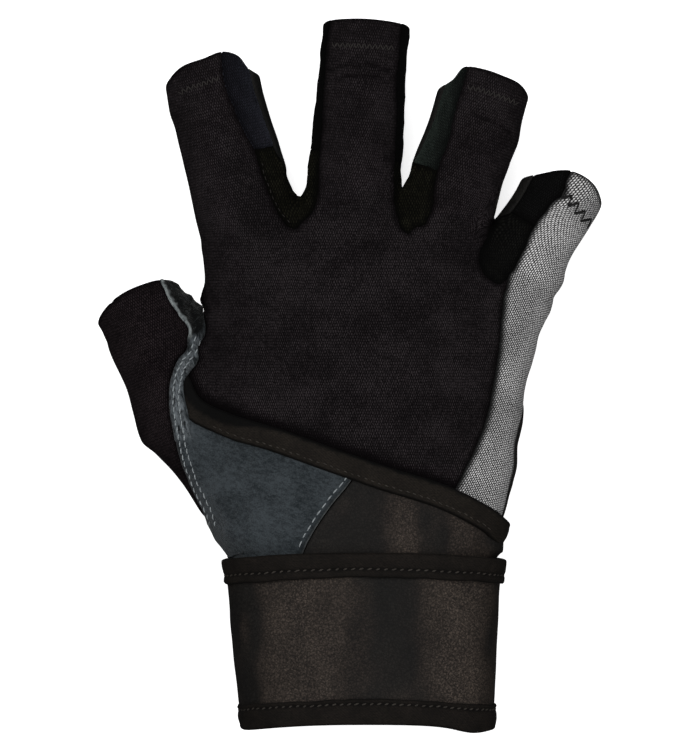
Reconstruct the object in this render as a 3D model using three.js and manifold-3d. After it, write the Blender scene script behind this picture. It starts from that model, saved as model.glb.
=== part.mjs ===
import * as THREE from "three";
import { mergeVertices } from "three/addons/utils/BufferGeometryUtils.js";
import Module from "manifold-3d";

// Fingerless weightlifting glove for a right hand, lying palm down as if a hand still filled it.
// Millimetres, +Z up, +Y towards the fingertips, the thumb on the -X side.
// The origin is at the middle of the glove's bounds, on the floor that the palm leather rests on.

// Driving sizes
const palmWidth = 100;
const handLength = 160;
const palmHeight = 40;
const fingerHeight = 22;
const indexLength = 49.5;
const middleLength = 57.4;
const ringLength = 43.8;
const littleLength = 29.8;
const thumbLength = 48.2;
const thumbWidth = 30;
const thumbHeight = 26;

const clothWall = 1.5;
const palmFloor = 2;
const gap = 0.3;

const strapThickness = 1.6;
const bindingThickness = 1;
const bindingWidth = 7.2;

const bodyHem = 78; // how far behind the origin the cloth body ends, inside the cuff
const cuffFront = 56.5; // how far behind the origin the cuff's front edge is
const cuffLength = 48.5;
const lapInset = 3; // the hidden lap stops this much short of the cuff's rear edge
const saddleTuck = 11; // how far the suede runs on under the cuff
const cuffBow = 2.2; // how much further forward the cuff's edges are in their middle

// Layers over the cloth body, as distances out from its surface
const lapInner = gap;
const lapOuter = lapInner + strapThickness;
const tapeInner = lapOuter + gap;
const tapeOuter = tapeInner + bindingThickness;
const cuffInner = tapeOuter + gap;
const cuffOuter = cuffInner + strapThickness;

// The hand: each row is a section across it. at is a share of handLength, left and right of palmWidth,
// low and high of palmHeight. square is the exponent of the section's outline: 2 is an ellipse.
const hand = {
  name: "hand",
  root: [0, 0],
  lean: 0,
  length: handLength,
  width: palmWidth,
  height: palmHeight,
  ring: 28,
  rows: [
    { at: -0.675, left: -0.268, right: 0.376, low: 0.172, high: 1.11, square: 2.5 },
    { at: -0.33, left: -0.326, right: 0.414, low: 0.172, high: 1.1, square: 2.5 },
    { at: -0.3, left: -0.385, right: 0.438, low: 0.165, high: 1.08, square: 2.4 },
    { at: -0.2375, left: -0.421, right: 0.474, low: 0.065, high: 1.06, square: 2.4 },
    { at: -0.125, left: -0.432, right: 0.508, low: -0.03, high: 1.01, square: 2.4 },
    { at: 0, left: -0.43, right: 0.532, low: -0.04, high: 0.96, square: 2.4 },
    { at: 0.094, left: -0.428, right: 0.57, low: -0.04, high: 0.9, square: 2.4 },
    { at: 0.1625, left: -0.431, right: 0.55, low: -0.03, high: 0.84, square: 2.3 },
    { at: 0.2313, left: -0.425, right: 0.44, low: -0.01, high: 0.75, square: 2.2 },
    { at: 0.2813, left: -0.34, right: 0.38, low: 0.03, high: 0.62, square: 2.1 },
    { at: 0.325, left: -0.25, right: 0.31, low: 0.12, high: 0.4, square: 2 },
  ],
};

// The fingers lie side by side, so each width is a share of the palm's. root is where the axis crosses
// the web, as shares of palmWidth and handLength, and lean is degrees towards the little finger.
// Rows are sections as above, in shares of the finger's own sizes.
// seams are the edges of the cloth on top, on the sides that have one: share of the length, then of the
// width, left and right.
// hem is the outline of the open end from above: share of the width, then of the length.
const fingers = [
  {
    name: "index",
    root: [-0.309, 0.3],
    lean: -13.4,
    length: indexLength,
    width: 0.29 * palmWidth,
    height: fingerHeight,
    ring: 14,
    rows: [
      { at: -0.5, left: -0.47, right: 0.45, low: 0.08, high: 1.3, square: 2.2 },
      { at: -0.2, left: -0.5, right: 0.5, low: 0.04, high: 1.2, square: 2.2 },
      { at: 0.05, left: -0.517, right: 0.524, low: 0.015, high: 1.08, square: 2.2 },
      { at: 0.35, left: -0.52, right: 0.507, low: 0.01, high: 1, square: 2.2 },
      { at: 0.6, left: -0.51, right: 0.478, low: 0.01, high: 0.94, square: 2.2 },
      { at: 0.72, left: -0.535, right: 0.472, low: 0.01, high: 0.91, square: 2.2 },
      { at: 1.06, left: -0.475, right: 0.49, low: 0.02, high: 0.86, square: 2.2 },
    ],
    seams: [
      { at: -0.13, right: 0.42 },
      { at: -0.03, right: 0.336 },
      { at: 0.08, right: 0.29 },
      { at: 0.25, right: 0.26 },
      { at: 0.366, right: 0.245 },
      { at: 0.5, right: 0.18 },
      { at: 0.667, right: 0.133 },
      { at: 0.8, right: 0.103 },
      { at: 1.1, right: 0.19 },
    ],
    hem: [
      { across: -0.52, reach: 0.92 },
      { across: -0.32, reach: 0.97 },
      { across: -0.05, reach: 0.985 },
      { across: 0.15, reach: 1 },
      { across: 0.31, reach: 0.955 },
      { across: 0.4, reach: 0.87 },
      { across: 0.52, reach: 0.845 },
    ],
  },
  {
    name: "middle",
    root: [0.006, 0.309],
    lean: 4.6,
    length: middleLength,
    width: 0.266 * palmWidth,
    height: fingerHeight,
    ring: 14,
    rows: [
      { at: -0.5, left: -0.48, right: 0.48, low: 0.04, high: 1.42, square: 2.2 },
      { at: -0.2, left: -0.51, right: 0.51, low: 0.03, high: 1.3, square: 2.2 },
      { at: 0.07, left: -0.53, right: 0.54, low: 0.015, high: 1.12, square: 2.2 },
      { at: 0.3, left: -0.513, right: 0.523, low: 0.01, high: 1.04, square: 2.2 },
      { at: 0.55, left: -0.5, right: 0.515, low: 0.01, high: 0.98, square: 2.2 },
      { at: 0.75, left: -0.488, right: 0.5, low: 0.01, high: 0.94, square: 2.2 },
      { at: 1.05, left: -0.48, right: 0.495, low: 0.02, high: 0.89, square: 2.2 },
    ],
    seams: [
      { at: -0.09, left: -0.56, right: 0.62 },
      { at: -0.03, left: -0.45, right: 0.54 },
      { at: 0.05, left: -0.401, right: 0.5 },
      { at: 0.18, left: -0.405, right: 0.467 },
      { at: 0.5, left: -0.42, right: 0.44 },
      { at: 0.78, left: -0.43, right: 0.41 },
      { at: 1.1, left: -0.4, right: 0.41 },
    ],
    hem: [
      { across: -0.55, reach: 0.995 },
      { across: -0.3, reach: 0.995 },
      { across: 0, reach: 1 },
      { across: 0.3, reach: 1.004 },
      { across: 0.55, reach: 1.015 },
    ],
  },
  {
    name: "ring",
    root: [0.291, 0.309],
    lean: 18.6,
    length: ringLength,
    width: 0.276 * palmWidth,
    height: fingerHeight,
    ring: 14,
    rows: [
      { at: -0.6, left: -0.44, right: 0.46, low: 0.06, high: 1.34, square: 2.2 },
      { at: -0.25, left: -0.49, right: 0.5, low: 0.03, high: 1.22, square: 2.2 },
      { at: 0.06, left: -0.517, right: 0.522, low: 0.015, high: 1.08, square: 2.2 },
      { at: 0.3, left: -0.512, right: 0.49, low: 0.01, high: 1.01, square: 2.2 },
      { at: 0.56, left: -0.49, right: 0.504, low: 0.01, high: 0.95, square: 2.2 },
      { at: 0.78, left: -0.51, right: 0.47, low: 0.01, high: 0.9, square: 2.2 },
      { at: 1.06, left: -0.5, right: 0.48, low: 0.02, high: 0.88, square: 2.2 },
    ],
    seams: [
      { at: -0.22, left: -0.3, right: 0.51 },
      { at: -0.17, left: -0.206, right: 0.515 },
      { at: -0.046, left: -0.15, right: 0.53 },
      { at: 0.13, left: -0.207, right: 0.5 },
      { at: 0.27, left: -0.235, right: 0.46 },
      { at: 0.46, left: -0.222, right: 0.445 },
      { at: 0.65, left: -0.257, right: 0.435 },
      { at: 0.9, left: -0.272, right: 0.455 },
      { at: 1.1, left: -0.28, right: 0.455 },
    ],
    hem: [
      { across: -0.53, reach: 0.82 },
      { across: -0.4, reach: 0.87 },
      { across: -0.32, reach: 0.975 },
      { across: -0.1, reach: 1 },
      { across: 0.12, reach: 0.995 },
      { across: 0.33, reach: 0.99 },
      { across: 0.5, reach: 0.965 },
    ],
  },
  {
    name: "little",
    root: [0.513, 0.2244],
    lean: 30,
    length: littleLength,
    width: 0.25 * palmWidth,
    height: fingerHeight,
    ring: 14,
    rows: [
      { at: -0.95, left: -0.42, right: 0.64, low: 0.06, high: 1.22, square: 2.2 },
      { at: -0.5, left: -0.46, right: 0.65, low: 0.04, high: 1.1, square: 2.2 },
      { at: -0.1, left: -0.49, right: 0.62, low: 0.02, high: 0.98, square: 2.2 },
      { at: 0.1, left: -0.475, right: 0.57, low: 0.015, high: 0.93, square: 2.2 },
      { at: 0.25, left: -0.455, right: 0.547, low: 0.01, high: 0.89, square: 2.2 },
      { at: 0.52, left: -0.418, right: 0.562, low: 0.01, high: 0.84, square: 2.2 },
      { at: 0.74, left: -0.432, right: 0.568, low: 0.01, high: 0.81, square: 2.2 },
      { at: 0.9, left: -0.42, right: 0.525, low: 0.015, high: 0.79, square: 2.2 },
      { at: 1.08, left: -0.42, right: 0.505, low: 0.02, high: 0.78, square: 2.2 },
    ],
    seams: [
      { at: -0.353, left: -0.034 },
      { at: -0.15, left: 0.014 },
      { at: 0.05, left: 0.004 },
      { at: 0.3, left: -0.027 },
      { at: 0.485, left: -0.006 },
      { at: 0.66, left: 0.032 },
      { at: 0.75, left: 0.09 },
      { at: 0.87, left: 0.04 },
      { at: 1.15, left: 0 },
    ],
    hem: [
      { across: -0.5, reach: 0.71 },
      { across: -0.34, reach: 0.778 },
      { across: -0.09, reach: 0.93 },
      { across: 0.016, reach: 0.984 },
      { across: 0.11, reach: 1.007 },
      { across: 0.357, reach: 0.995 },
      { across: 0.49, reach: 0.94 },
      { across: 0.62, reach: 0.86 },
    ],
  },
];

const thumb = {
  name: "thumb",
  root: [-0.477, -0.1225],
  lean: -22,
  length: thumbLength,
  width: thumbWidth,
  height: thumbHeight,
  ring: 16,
  rows: [
    { at: -0.6, left: 0.15, right: 0.6, low: 0.35, high: 1.15, square: 2.1 },
    { at: -0.45, left: -0.15, right: 0.5, low: 0.12, high: 1.25, square: 2.1 },
    { at: -0.24, left: -0.235, right: 0.55, low: 0.05, high: 1.2, square: 2.1 },
    { at: 0, left: -0.37, right: 0.57, low: 0.02, high: 1.12, square: 2.1 },
    { at: 0.11, left: -0.455, right: 0.57, low: 0.01, high: 1.08, square: 2.1 },
    { at: 0.5, left: -0.405, right: 0.585, low: 0.01, high: 0.97, square: 2.1 },
    { at: 0.7, left: -0.417, right: 0.635, low: 0.01, high: 0.93, square: 2.1 },
    { at: 0.82, left: -0.4, right: 0.61, low: 0.012, high: 0.9, square: 2.1 },
    { at: 1.1, left: -0.44, right: 0.5, low: 0.02, high: 0.88, square: 2.1 },
  ],
  hem: [
    { across: -0.48, reach: 0.93 },
    { across: -0.12, reach: 1 },
    { across: 0.11, reach: 1.01 },
    { across: 0.4, reach: 0.985 },
    { across: 0.53, reach: 0.865 },
    { across: 0.62, reach: 0.755 },
    { across: 0.635, reach: 0.705 },
  ],
};

const hemTilt = 14; // degrees: the palm side of each finger ends lower than its back

// Seam between the palm leather and the cloth, seen from the side: shares of handLength and palmHeight
const palmSeam = [
  { at: -0.75, high: 0.42 },
  { at: -0.24, high: 0.33 },
  { at: 0, high: 0.25 },
  { at: 0.25, high: 0.2 },
  { at: 0.38, high: 0.165 },
  { at: 0.8, high: 0.15 },
];

// Seams seen from above, from the fingers' end back to the wrist: shares of palmWidth and handLength
const thumbSeam = [
  { across: -0.565, at: 0.19 },
  { across: -0.537, at: 0.147 },
  { across: -0.503, at: 0.114 },
  { across: -0.472, at: 0.086 },
  { across: -0.486, at: 0.046 },
  { across: -0.509, at: 0.028 },
  { across: -0.526, at: 0.003 },
  { across: -0.535, at: -0.036 },
  { across: -0.532, at: -0.068 },
  { across: -0.52, at: -0.1075 },
  { across: -0.497, at: -0.159 },
  { across: -0.469, at: -0.201 },
  { across: -0.44, at: -0.244 },
  { across: -0.41, at: -0.29 },
];
const stripSeam = [
  { across: -0.46, at: 0.25 },
  { across: -0.438, at: 0.12 },
  { across: -0.434, at: 0.071 },
  { across: -0.451, at: 0.0575 },
  { across: -0.454, at: 0.0244 },
  { across: -0.48, at: 0.003 },
  { across: -0.494, at: -0.015 },
  { across: -0.491, at: -0.044 },
  { across: -0.48, at: -0.072 },
  { across: -0.466, at: -0.11 },
  { across: -0.45, at: -0.15 },
];
const suedeEdge = [
  { across: 0.06, at: 0.25 },
  { across: 0.06, at: -0.13 },
  { across: 0.006, at: -0.2 },
  { across: -0.055, at: -0.2475 },
  { across: -0.104, at: -0.294 },
  { across: -0.135, at: -0.334 },
  { across: -0.15, at: -0.5 },
];
const meshSeam = [
  { across: 0.456, at: 0.104 },
  { across: 0.453, at: 0.069 },
  { across: 0.441, at: 0.014 },
  { across: 0.427, at: -0.04 },
  { across: 0.404, at: -0.097 },
  { across: 0.37, at: -0.1475 },
  { across: 0.341, at: -0.183 },
  { across: 0.315, at: -0.216 },
  { across: 0.28, at: -0.6 },
];

// The crest of the binding on the strap's leading edge, from the thumb's side across the back
const strapCrest = [
  { across: -0.6, at: 0.03 },
  { across: -0.489, at: -0.001 },
  { across: -0.447, at: -0.044 },
  { across: -0.355, at: -0.072 },
  { across: -0.202, at: -0.1025 },
  { across: -0.055, at: -0.136 },
  { across: 0.104, at: -0.171 },
  { across: 0.306, at: -0.213 },
  { across: 0.38, at: -0.236 },
  { across: 0.44, at: -0.26 },
  { across: 0.47, at: -0.279 },
  { across: 0.6, at: -0.282 },
];

// The webs between the fingers: the lowest point of each, as shares of palmWidth and handLength, and
// how far up the finger on each side it reaches, as a share of that finger's length
const webs = [
  { left: "index", right: "middle", across: -0.161, at: 0.2756, leftReach: 0.37, rightReach: 0.3 },
  { left: "middle", right: "ring", across: 0.18, at: 0.266, leftReach: 0.27, rightReach: 0.24 },
  { left: "ring", right: "little", across: 0.41, at: 0.185, leftReach: 0.03, rightReach: 0.33 },
];

// The strips along the fingers' sides go on from the webs to the hems
const strips = [
  { finger: "index", side: "right", from: 0.37 },
  { finger: "middle", side: "left", from: 0.3 },
  { finger: "middle", side: "right", from: 0.27 },
  { finger: "ring", side: "left", from: 0.24 },
  { finger: "little", side: "left", from: 0.33 },
];
const past = { index: 0.56, middle: 0.56, ring: 0.56, little: 0.49 }; // just past a finger's edge

// The strap runs round the wrist twice. Angles are degrees round it, 0 on the little finger's side and
// 90 on the back. The second lap, the cuff, starts on the palm side and ends just short of its start.
const cuffStart = 238;
const cuffTurn = 350;
const cuffClimb = 34;
const cuffSteps = 44;
const tapeStart = 5; // the step at which the cuff has climbed and its tapes start
const strapSplit = 0.62; // share of palmHeight under which the strap's leading edge runs level
const suedeFloor = 0.46; // share of palmHeight down to which the suede wraps the wrist
const bridgeFront = 12; // behind the origin, where the suede starts to step up over the cloth
const bridgeRear = 20; // and where it has left the cloth's layer

// The hook patch that holds the strap's end to its first lap
const hookSteps = [37, 42]; // where it lies, in steps of the cuff
const hookMargin = 9;

const finishes = {
  knit: { color: 0x1b1919, roughness: 0.95 },
  mesh: { color: 0x696969, roughness: 0.9 },
  web: { color: 0x141414, roughness: 0.9 },
  suede: { color: 0x323739, roughness: 0.95 },
  leather: { color: 0x252321, roughness: 0.5 },
  tape: { color: 0x181616, roughness: 0.6 },
  hook: { color: 0x101010, roughness: 0.8 },
};
// Each piece's finish, by the first word of its name
const finishOf = {
  back: "knit",
  thumb: "knit",
  mesh: "mesh",
  web: "web",
  strip: "web",
  suede: "suede",
  palm: "leather",
  wrist: "leather",
  edge: "tape",
  front: "tape",
  rear: "tape",
  hook: "hook",
};

const hemPast = 1.6; // how far along a finger the cut at its hem reaches
const far = 200;

const wasm = await Module();
wasm.setup();

const mix = THREE.MathUtils.lerp;
const at2 = (x, y) => new THREE.Vector2(x, y);
const named = (name) => fingers.find((finger) => finger.name === name);

// three.js geometry to a manifold-3d solid, and back
function solid(geometry) {
  const bare = geometry.index ? geometry.toNonIndexed() : geometry.clone();
  bare.deleteAttribute("normal");
  bare.deleteAttribute("uv");
  const merged = mergeVertices(bare, 1e-4);
  return new wasm.Manifold(
    new wasm.Mesh({
      numProp: 3,
      vertProperties: merged.attributes.position.array,
      triVerts: new Uint32Array(merged.index.array),
    }),
  );
}

// Cuts along seams that nearly meet leave crumbs, so a piece is its largest body
function largest(made) {
  const bodies = made.decompose();
  return bodies.reduce((most, body) => (body.volume() > most.volume() ? body : most));
}

function geometryOf(made) {
  const mesh = made.getMesh();
  const geometry = new THREE.BufferGeometry();
  geometry.setAttribute("position", new THREE.BufferAttribute(mesh.vertProperties, 3));
  geometry.setIndex(new THREE.BufferAttribute(mesh.triVerts, 1));
  geometry.computeVertexNormals();
  return geometry;
}

// A closed mesh through sections with equal numbers of points, each clockwise seen along the sweep.
// profile is one of them laid flat, for the ends' triangles.
function sweep(sections, profile) {
  const count = profile.length;
  const positions = sections.flat().flatMap((point) => [point.x, point.y, point.z]);
  const faces = [];
  for (let i = 0; i + 1 < sections.length; i++) {
    for (let j = 0; j < count; j++) {
      const a = i * count + j;
      const b = i * count + ((j + 1) % count);
      faces.push(a, b, b + count, a, b + count, a + count);
    }
  }
  const last = (sections.length - 1) * count;
  const turned = THREE.ShapeUtils.isClockWise(profile);
  for (const [a, b, c] of THREE.ShapeUtils.triangulateShape(profile, [])) {
    const [first, second] = turned ? [a, c] : [c, a];
    faces.push(first, b, second, last + second, last + b, last + first);
  }
  const geometry = new THREE.BufferGeometry();
  geometry.setAttribute("position", new THREE.Float32BufferAttribute(positions, 3));
  geometry.setIndex(faces);
  return geometry;
}

// A point in a tube's own frame, across and along its axis, to the glove's frame
function place(tube, across, along) {
  const lean = THREE.MathUtils.degToRad(tube.lean);
  return at2(
    tube.root[0] * palmWidth + along * Math.sin(lean) + across * Math.cos(lean),
    tube.root[1] * handLength + along * Math.cos(lean) - across * Math.sin(lean),
  );
}

const signedPower = (value, power) => Math.sign(value) * Math.abs(value) ** power;

// A point on a tube's section at one row, a distance out from the cloth's surface
function sectionPoint(tube, row, angle, out) {
  const halfWidth = ((row.right - row.left) / 2) * tube.width + out;
  const halfHeight = ((row.high - row.low) / 2) * tube.height + out;
  const across = ((row.left + row.right) / 2) * tube.width;
  const middle = ((row.low + row.high) / 2) * tube.height;
  const flat = place(
    tube,
    across + halfWidth * signedPower(Math.cos(angle), 2 / row.square),
    row.at * tube.length,
  );
  const up = middle + halfHeight * signedPower(Math.sin(angle), 2 / row.square);
  return new THREE.Vector3(flat.x, flat.y, up);
}

function tubeSolid(tube, out) {
  const angles = Array.from({ length: tube.ring }, (_, k) => (-2 * Math.PI * (k + 0.5)) / tube.ring);
  const profile = angles.map((angle) => at2(Math.cos(angle), Math.sin(angle)));
  const sections = tube.rows.map((row) =>
    angles.map((angle) => sectionPoint(tube, row, angle, out)),
  );
  return solid(sweep(sections, profile));
}

const joined = (solids) => solids.reduce((all, next) => all.add(next));
const form = (tubes, out) => joined(tubes.map((tube) => tubeSolid(tube, out)));

// A layer over the back of the hand and the wrist, between two distances from the cloth's surface
const layer = (inner, outer) => form([hand, thumb], outer).subtract(form([hand, thumb], inner));

// A prism over an outline seen from above
function prism(points, low, high) {
  const depth = high - low;
  const geometry = new THREE.ExtrudeGeometry(new THREE.Shape(points), { depth, bevelEnabled: false });
  return solid(geometry.translate(0, 0, low));
}

// An outline grown by a distance, or shrunk if it is negative
function grown(points, distance) {
  const ring = THREE.ShapeUtils.isClockWise(points) ? [...points].reverse() : points;
  return ring.map((point, i) => {
    const before = ring.at(i - 1);
    const after = ring[(i + 1) % ring.length];
    const first = point.clone().sub(before).normalize();
    const second = after.clone().sub(point).normalize();
    const reach = distance / (1 + first.dot(second));
    return at2(point.x + reach * (first.y + second.y), point.y - reach * (first.x + second.x));
  });
}

const region = (points, growth) => prism(grown(points, growth), -far, far);

const block = (x0, x1, y0, y1, z0, z1) =>
  solid(
    new THREE.BoxGeometry(x1 - x0, y1 - y0, z1 - z0).translate(
      (x0 + x1) / 2,
      (y0 + y1) / 2,
      (z0 + z1) / 2,
    ),
  );
const under = (height) => block(-far, far, -far, far, -far, height);
const behind = (y) => block(-far, far, -far, y, -far, far);

const curve = (rows) => rows.map((row) => at2(row.across * palmWidth, row.at * handLength));

// Everything to the right of a seam that runs back to the wrist, or to the left of it
const rightOf = (line) => [...line, at2(far, line.at(-1).y), at2(far, line[0].y)];
const leftOf = (line) => [...line, at2(-far, line.at(-1).y), at2(-far, line[0].y)];

// Everything under the palm's seam
function palmRegion(growth) {
  const line = palmSeam.map((row) => at2(row.at * handLength, row.high * palmHeight));
  const outline = [...line, at2(far, line.at(-1).y), at2(far, -far), at2(-far, -far)];
  outline.push(at2(-far, line[0].y));
  const shape = new THREE.Shape(grown(outline, growth));
  const geometry = new THREE.ExtrudeGeometry(shape, { depth: 2 * far, bevelEnabled: false });
  const turn = new THREE.Matrix4().set(0, 0, 1, -far, 1, 0, 0, 0, 0, 1, 0, 0, 0, 0, 0, 1);
  return solid(geometry.applyMatrix4(turn));
}

// One side's seam on a finger between two shares of its length, with a point at each end
function seamPart(finger, side, from, to) {
  const rows = finger.seams;
  const point = (share, across) => place(finger, across * finger.width, share * finger.length);
  const cut = (share) => {
    const next = Math.max(1, rows.findIndex((row) => row.at >= share));
    const [a, b] = [rows[next - 1], rows[next]];
    return point(share, mix(a[side], b[side], (share - a.at) / (b.at - a.at)));
  };
  const inner = rows.filter((row) => row.at > from && row.at < to);
  return [cut(from), ...inner.map((row) => point(row.at, row[side])), cut(to)];
}

const seamStart = (finger) => finger.seams[0].at;
const seamEnd = (finger) => finger.seams.at(-1).at;

function webOutline(web) {
  const [left, right] = [named(web.left), named(web.right)];
  const down = seamPart(left, "right", seamStart(left), web.leftReach).reverse();
  const up = seamPart(right, "left", seamStart(right), web.rightReach);
  return [
    place(left, past[web.left] * left.width, web.leftReach * left.length),
    ...down,
    at2(web.across * palmWidth, web.at * handLength),
    ...up,
    place(right, -past[web.right] * right.width, web.rightReach * right.length),
  ];
}

function stripOutline(strip) {
  const finger = named(strip.finger);
  const across = (strip.side === "right" ? 1 : -1) * past[strip.finger] * finger.width;
  return [
    ...seamPart(finger, strip.side, strip.from, seamEnd(finger)),
    place(finger, across, seamEnd(finger) * finger.length),
    place(finger, across, strip.from * finger.length),
  ];
}

// Everything past a finger's open end. The cut leans, so the palm side ends lower than the back.
function hemCutter(tube) {
  const outline = tube.hem.map((row) => at2(row.across * tube.width, row.reach * tube.length));
  const beyond = hemPast * tube.length;
  outline.push(at2(outline.at(-1).x, beyond), at2(outline[0].x, beyond));
  const depth = 4 * tube.height;
  const geometry = new THREE.ExtrudeGeometry(new THREE.Shape(outline), { depth, bevelEnabled: false });
  const slope = Math.tan(THREE.MathUtils.degToRad(hemTilt));
  const top = tube.rows.at(-1).high * tube.height;
  const shear = new THREE.Matrix4().set(1, 0, 0, 0, 0, 1, slope, -slope * top, 0, 0, 1, 0, 0, 0, 0, 1);
  geometry.translate(0, 0, -tube.height).applyMatrix4(shear);
  geometry.rotateZ(THREE.MathUtils.degToRad(-tube.lean));
  return solid(geometry.translate(tube.root[0] * palmWidth, tube.root[1] * handLength, 0));
}

// The body: one wall, open at the wrist and the fingertips, flat where it rests
function bodyWall() {
  const tubes = [hand, thumb, ...fingers];
  return form(tubes, 0)
    .subtract(under(0))
    .subtract(form(tubes, -clothWall).subtract(under(palmFloor)))
    .subtract(joined([thumb, ...fingers].map(hemCutter)))
    .subtract(behind(-bodyHem));
}

// A point over the wrist: degrees round it, along the hand, and out from the cloth
function wristPoint(degrees, y, out) {
  const rows = hand.rows;
  const at = y / handLength;
  const next = Math.max(1, rows.findIndex((row) => row.at >= at));
  const blend = (at - rows[next - 1].at) / (rows[next].at - rows[next - 1].at);
  const row = {};
  for (const key of Object.keys(rows[0])) {
    row[key] = mix(rows[next - 1][key], rows[next][key], blend);
  }
  return sectionPoint(hand, row, THREE.MathUtils.degToRad(degrees), out);
}

// Sweeps a profile round the wrist along the cuff, from one of its steps to another. A profile point
// is a distance out from the cloth and a place along the hand. The start climbs from the first lap.
function cuffSweep(profile, from, to) {
  const ring = THREE.ShapeUtils.isClockWise(profile) ? profile : [...profile].reverse();
  const sections = Array.from({ length: to - from + 1 }, (_, i) => {
    const turned = ((from + i) / cuffSteps) * cuffTurn;
    const degrees = cuffStart - turned;
    const climb = THREE.MathUtils.smoothstep(turned, 0, cuffClimb) - 1;
    const bow = cuffBow * Math.sin(THREE.MathUtils.degToRad(degrees)) ** 2;
    return ring.map((point) =>
      wristPoint(degrees, point.y + bow, point.x + climb * (cuffInner - lapInner)),
    );
  });
  return solid(sweep(sections, ring));
}

const rectangle = (x0, x1, y0, y1) => [at2(x0, y0), at2(x1, y0), at2(x1, y1), at2(x0, y1)];

// A tape folded over the cuff's edge at y. sign is 1 on its front edge and -1 on its rear edge.
function foldedTape(y, sign) {
  const [inside, outside] = [cuffInner - gap, cuffOuter + gap];
  const [inner, outer] = [inside - bindingThickness, outside + bindingThickness];
  const edge = y + sign * gap;
  const crest = edge + sign * bindingThickness;
  const foot = crest - sign * bindingWidth;
  return [
    at2(outer, foot),
    at2(outer, crest),
    at2(inner, crest),
    at2(inner, foot),
    at2(inside, foot),
    at2(inside, edge),
    at2(outside, edge),
    at2(outside, foot),
  ];
}

// Everything behind a line a distance back from the strap's crest. It slopes over the back of the hand
// and is level under the palm.
function strapRegion(back) {
  const crest = curve(strapCrest);
  const outline = [...crest, at2(far, crest.at(-1).y), at2(far, -far), at2(-far, -far)];
  outline.push(at2(-far, crest[0].y));
  const split = strapSplit * palmHeight;
  const top = prism(grown(outline, -back), suedeFloor * palmHeight, far);
  const level = block(0, far, -far, far, -far, split);
  const rear = crest.at(-1).y - back;
  const thumbSide = block(lapEnd(), strapThickness, -far, rear, -far, suedeFloor * palmHeight);
  return top.subtract(level).add(level.intersect(behind(rear))).add(thumbSide);
}

// The tape on the strap's leading edge: over the strap, and down over its edge
function edgeBinding() {
  const over = layer(tapeInner, tapeOuter)
    .intersect(strapRegion(0))
    .subtract(strapRegion(bindingWidth));
  const lip = layer(lapInner, tapeOuter).intersect(strapRegion(0)).subtract(strapRegion(bindingThickness));
  return over
    .add(lip)
    .subtract(region(leftOf(curve(stripSeam)), gap / 2));
}

const cuffRear = -cuffFront - cuffLength;
const lapRear = cuffRear + lapInset;
const edgeInset = gap + bindingThickness;

// How far left the first lap reaches under the palm, a little past where the cuff starts from it
const lapEnd = () => wristPoint(cuffStart, -cuffFront, 0).x - 3 * strapThickness;

// The suede's own part of the plan, and the strap's, either side of the suede's edge
function suedeAndLap() {
  const strap = layer(lapInner, lapOuter).intersect(strapRegion(edgeInset));
  const floor = suedeFloor * palmHeight;
  const suedeSide = leftOf(curve(suedeEdge));
  const thumbSide = curve(thumbSeam);
  thumbSide.push(at2(-palmWidth / 2, -cuffFront));
  const patch = strap
    .intersect(region(suedeSide, -gap / 2))
    .subtract(region(leftOf(thumbSide), gap / 2))
    .subtract(under(floor))
    .subtract(behind(-cuffFront - saddleTuck));
  const lap = strap
    .subtract(region(suedeSide, gap / 2).subtract(under(floor)))
    .subtract(behind(lapRear));
  return { patch, lap };
}

function build() {
  const wall = bodyWall();
  const cloth = wall.subtract(palmRegion(gap));
  const pieces = new Map();
  const add = (name, made) => pieces.set(name, largest(made));

  const regions = {
    thumb_back: leftOf(curve(thumbSeam)),
    mesh_panel: rightOf([
      ...seamPart(named("little"), "left", seamStart(named("little")), seamEnd(named("little"))).reverse(),
      ...curve(meshSeam),
    ]),
  };
  for (const web of webs) regions[`web_${web.left}_${web.right}`] = webOutline(web);
  for (const strip of strips) regions[`strip_${strip.finger}_${strip.side}`] = stripOutline(strip);
  const suedeOutline = [
    ...curve(thumbSeam).filter((point) => point.y > -bridgeRear),
    ...curve(stripSeam).filter((point) => point.y > -bridgeRear).reverse(),
  ];

  for (const [name, outline] of Object.entries(regions)) {
    add(name, cloth.intersect(region(outline, -gap / 2)));
  }
  let back = cloth.subtract(region(suedeOutline, gap / 2));
  for (const outline of Object.values(regions)) back = back.subtract(region(outline, gap / 2));
  add("back_panel", back);
  add("palm_panel", wall.intersect(palmRegion(0)));

  const { patch, lap } = suedeAndLap();
  const strip = cloth.intersect(region(suedeOutline, -gap / 2));
  const bridge = layer(-clothWall, lapOuter)
    .intersect(region(suedeOutline, -gap / 2))
    .subtract(block(-far, far, -bridgeFront, far, -far, far))
    .subtract(under(suedeFloor * palmHeight));
  add("suede_saddle", strip.add(bridge).add(patch));
  add("edge_binding", edgeBinding());

  const cuff = cuffSweep(rectangle(cuffInner, cuffOuter, cuffRear, -cuffFront), 0, cuffSteps);
  add("wrist_strap", lap.add(cuff));

  add("front_binding", cuffSweep(foldedTape(-cuffFront, 1), tapeStart, cuffSteps));
  add("rear_binding", cuffSweep(foldedTape(cuffRear, -1), tapeStart, cuffSteps));

  const hook = rectangle(tapeInner, tapeOuter, cuffRear + hookMargin, -cuffFront - hookMargin);
  add("hook_tab", cuffSweep(hook, ...hookSteps));
  return pieces;
}

const glove = new THREE.Group();
for (const [name, made] of build()) {
  const { color, roughness } = finishes[finishOf[name.split("_")[0]]];
  const material = new THREE.MeshStandardMaterial({ color, roughness, metalness: 0 });
  const mesh = new THREE.Mesh(geometryOf(made), material);
  mesh.name = name;
  glove.add(mesh);
}

// The origin goes to the middle of the glove's bounds, at the height of the floor
const bounds = new THREE.Box3().setFromObject(glove);
const middle = bounds.getCenter(new THREE.Vector3());
for (const mesh of glove.children) mesh.position.set(-middle.x, -middle.y, -bounds.min.z);

export default glove;
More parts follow.
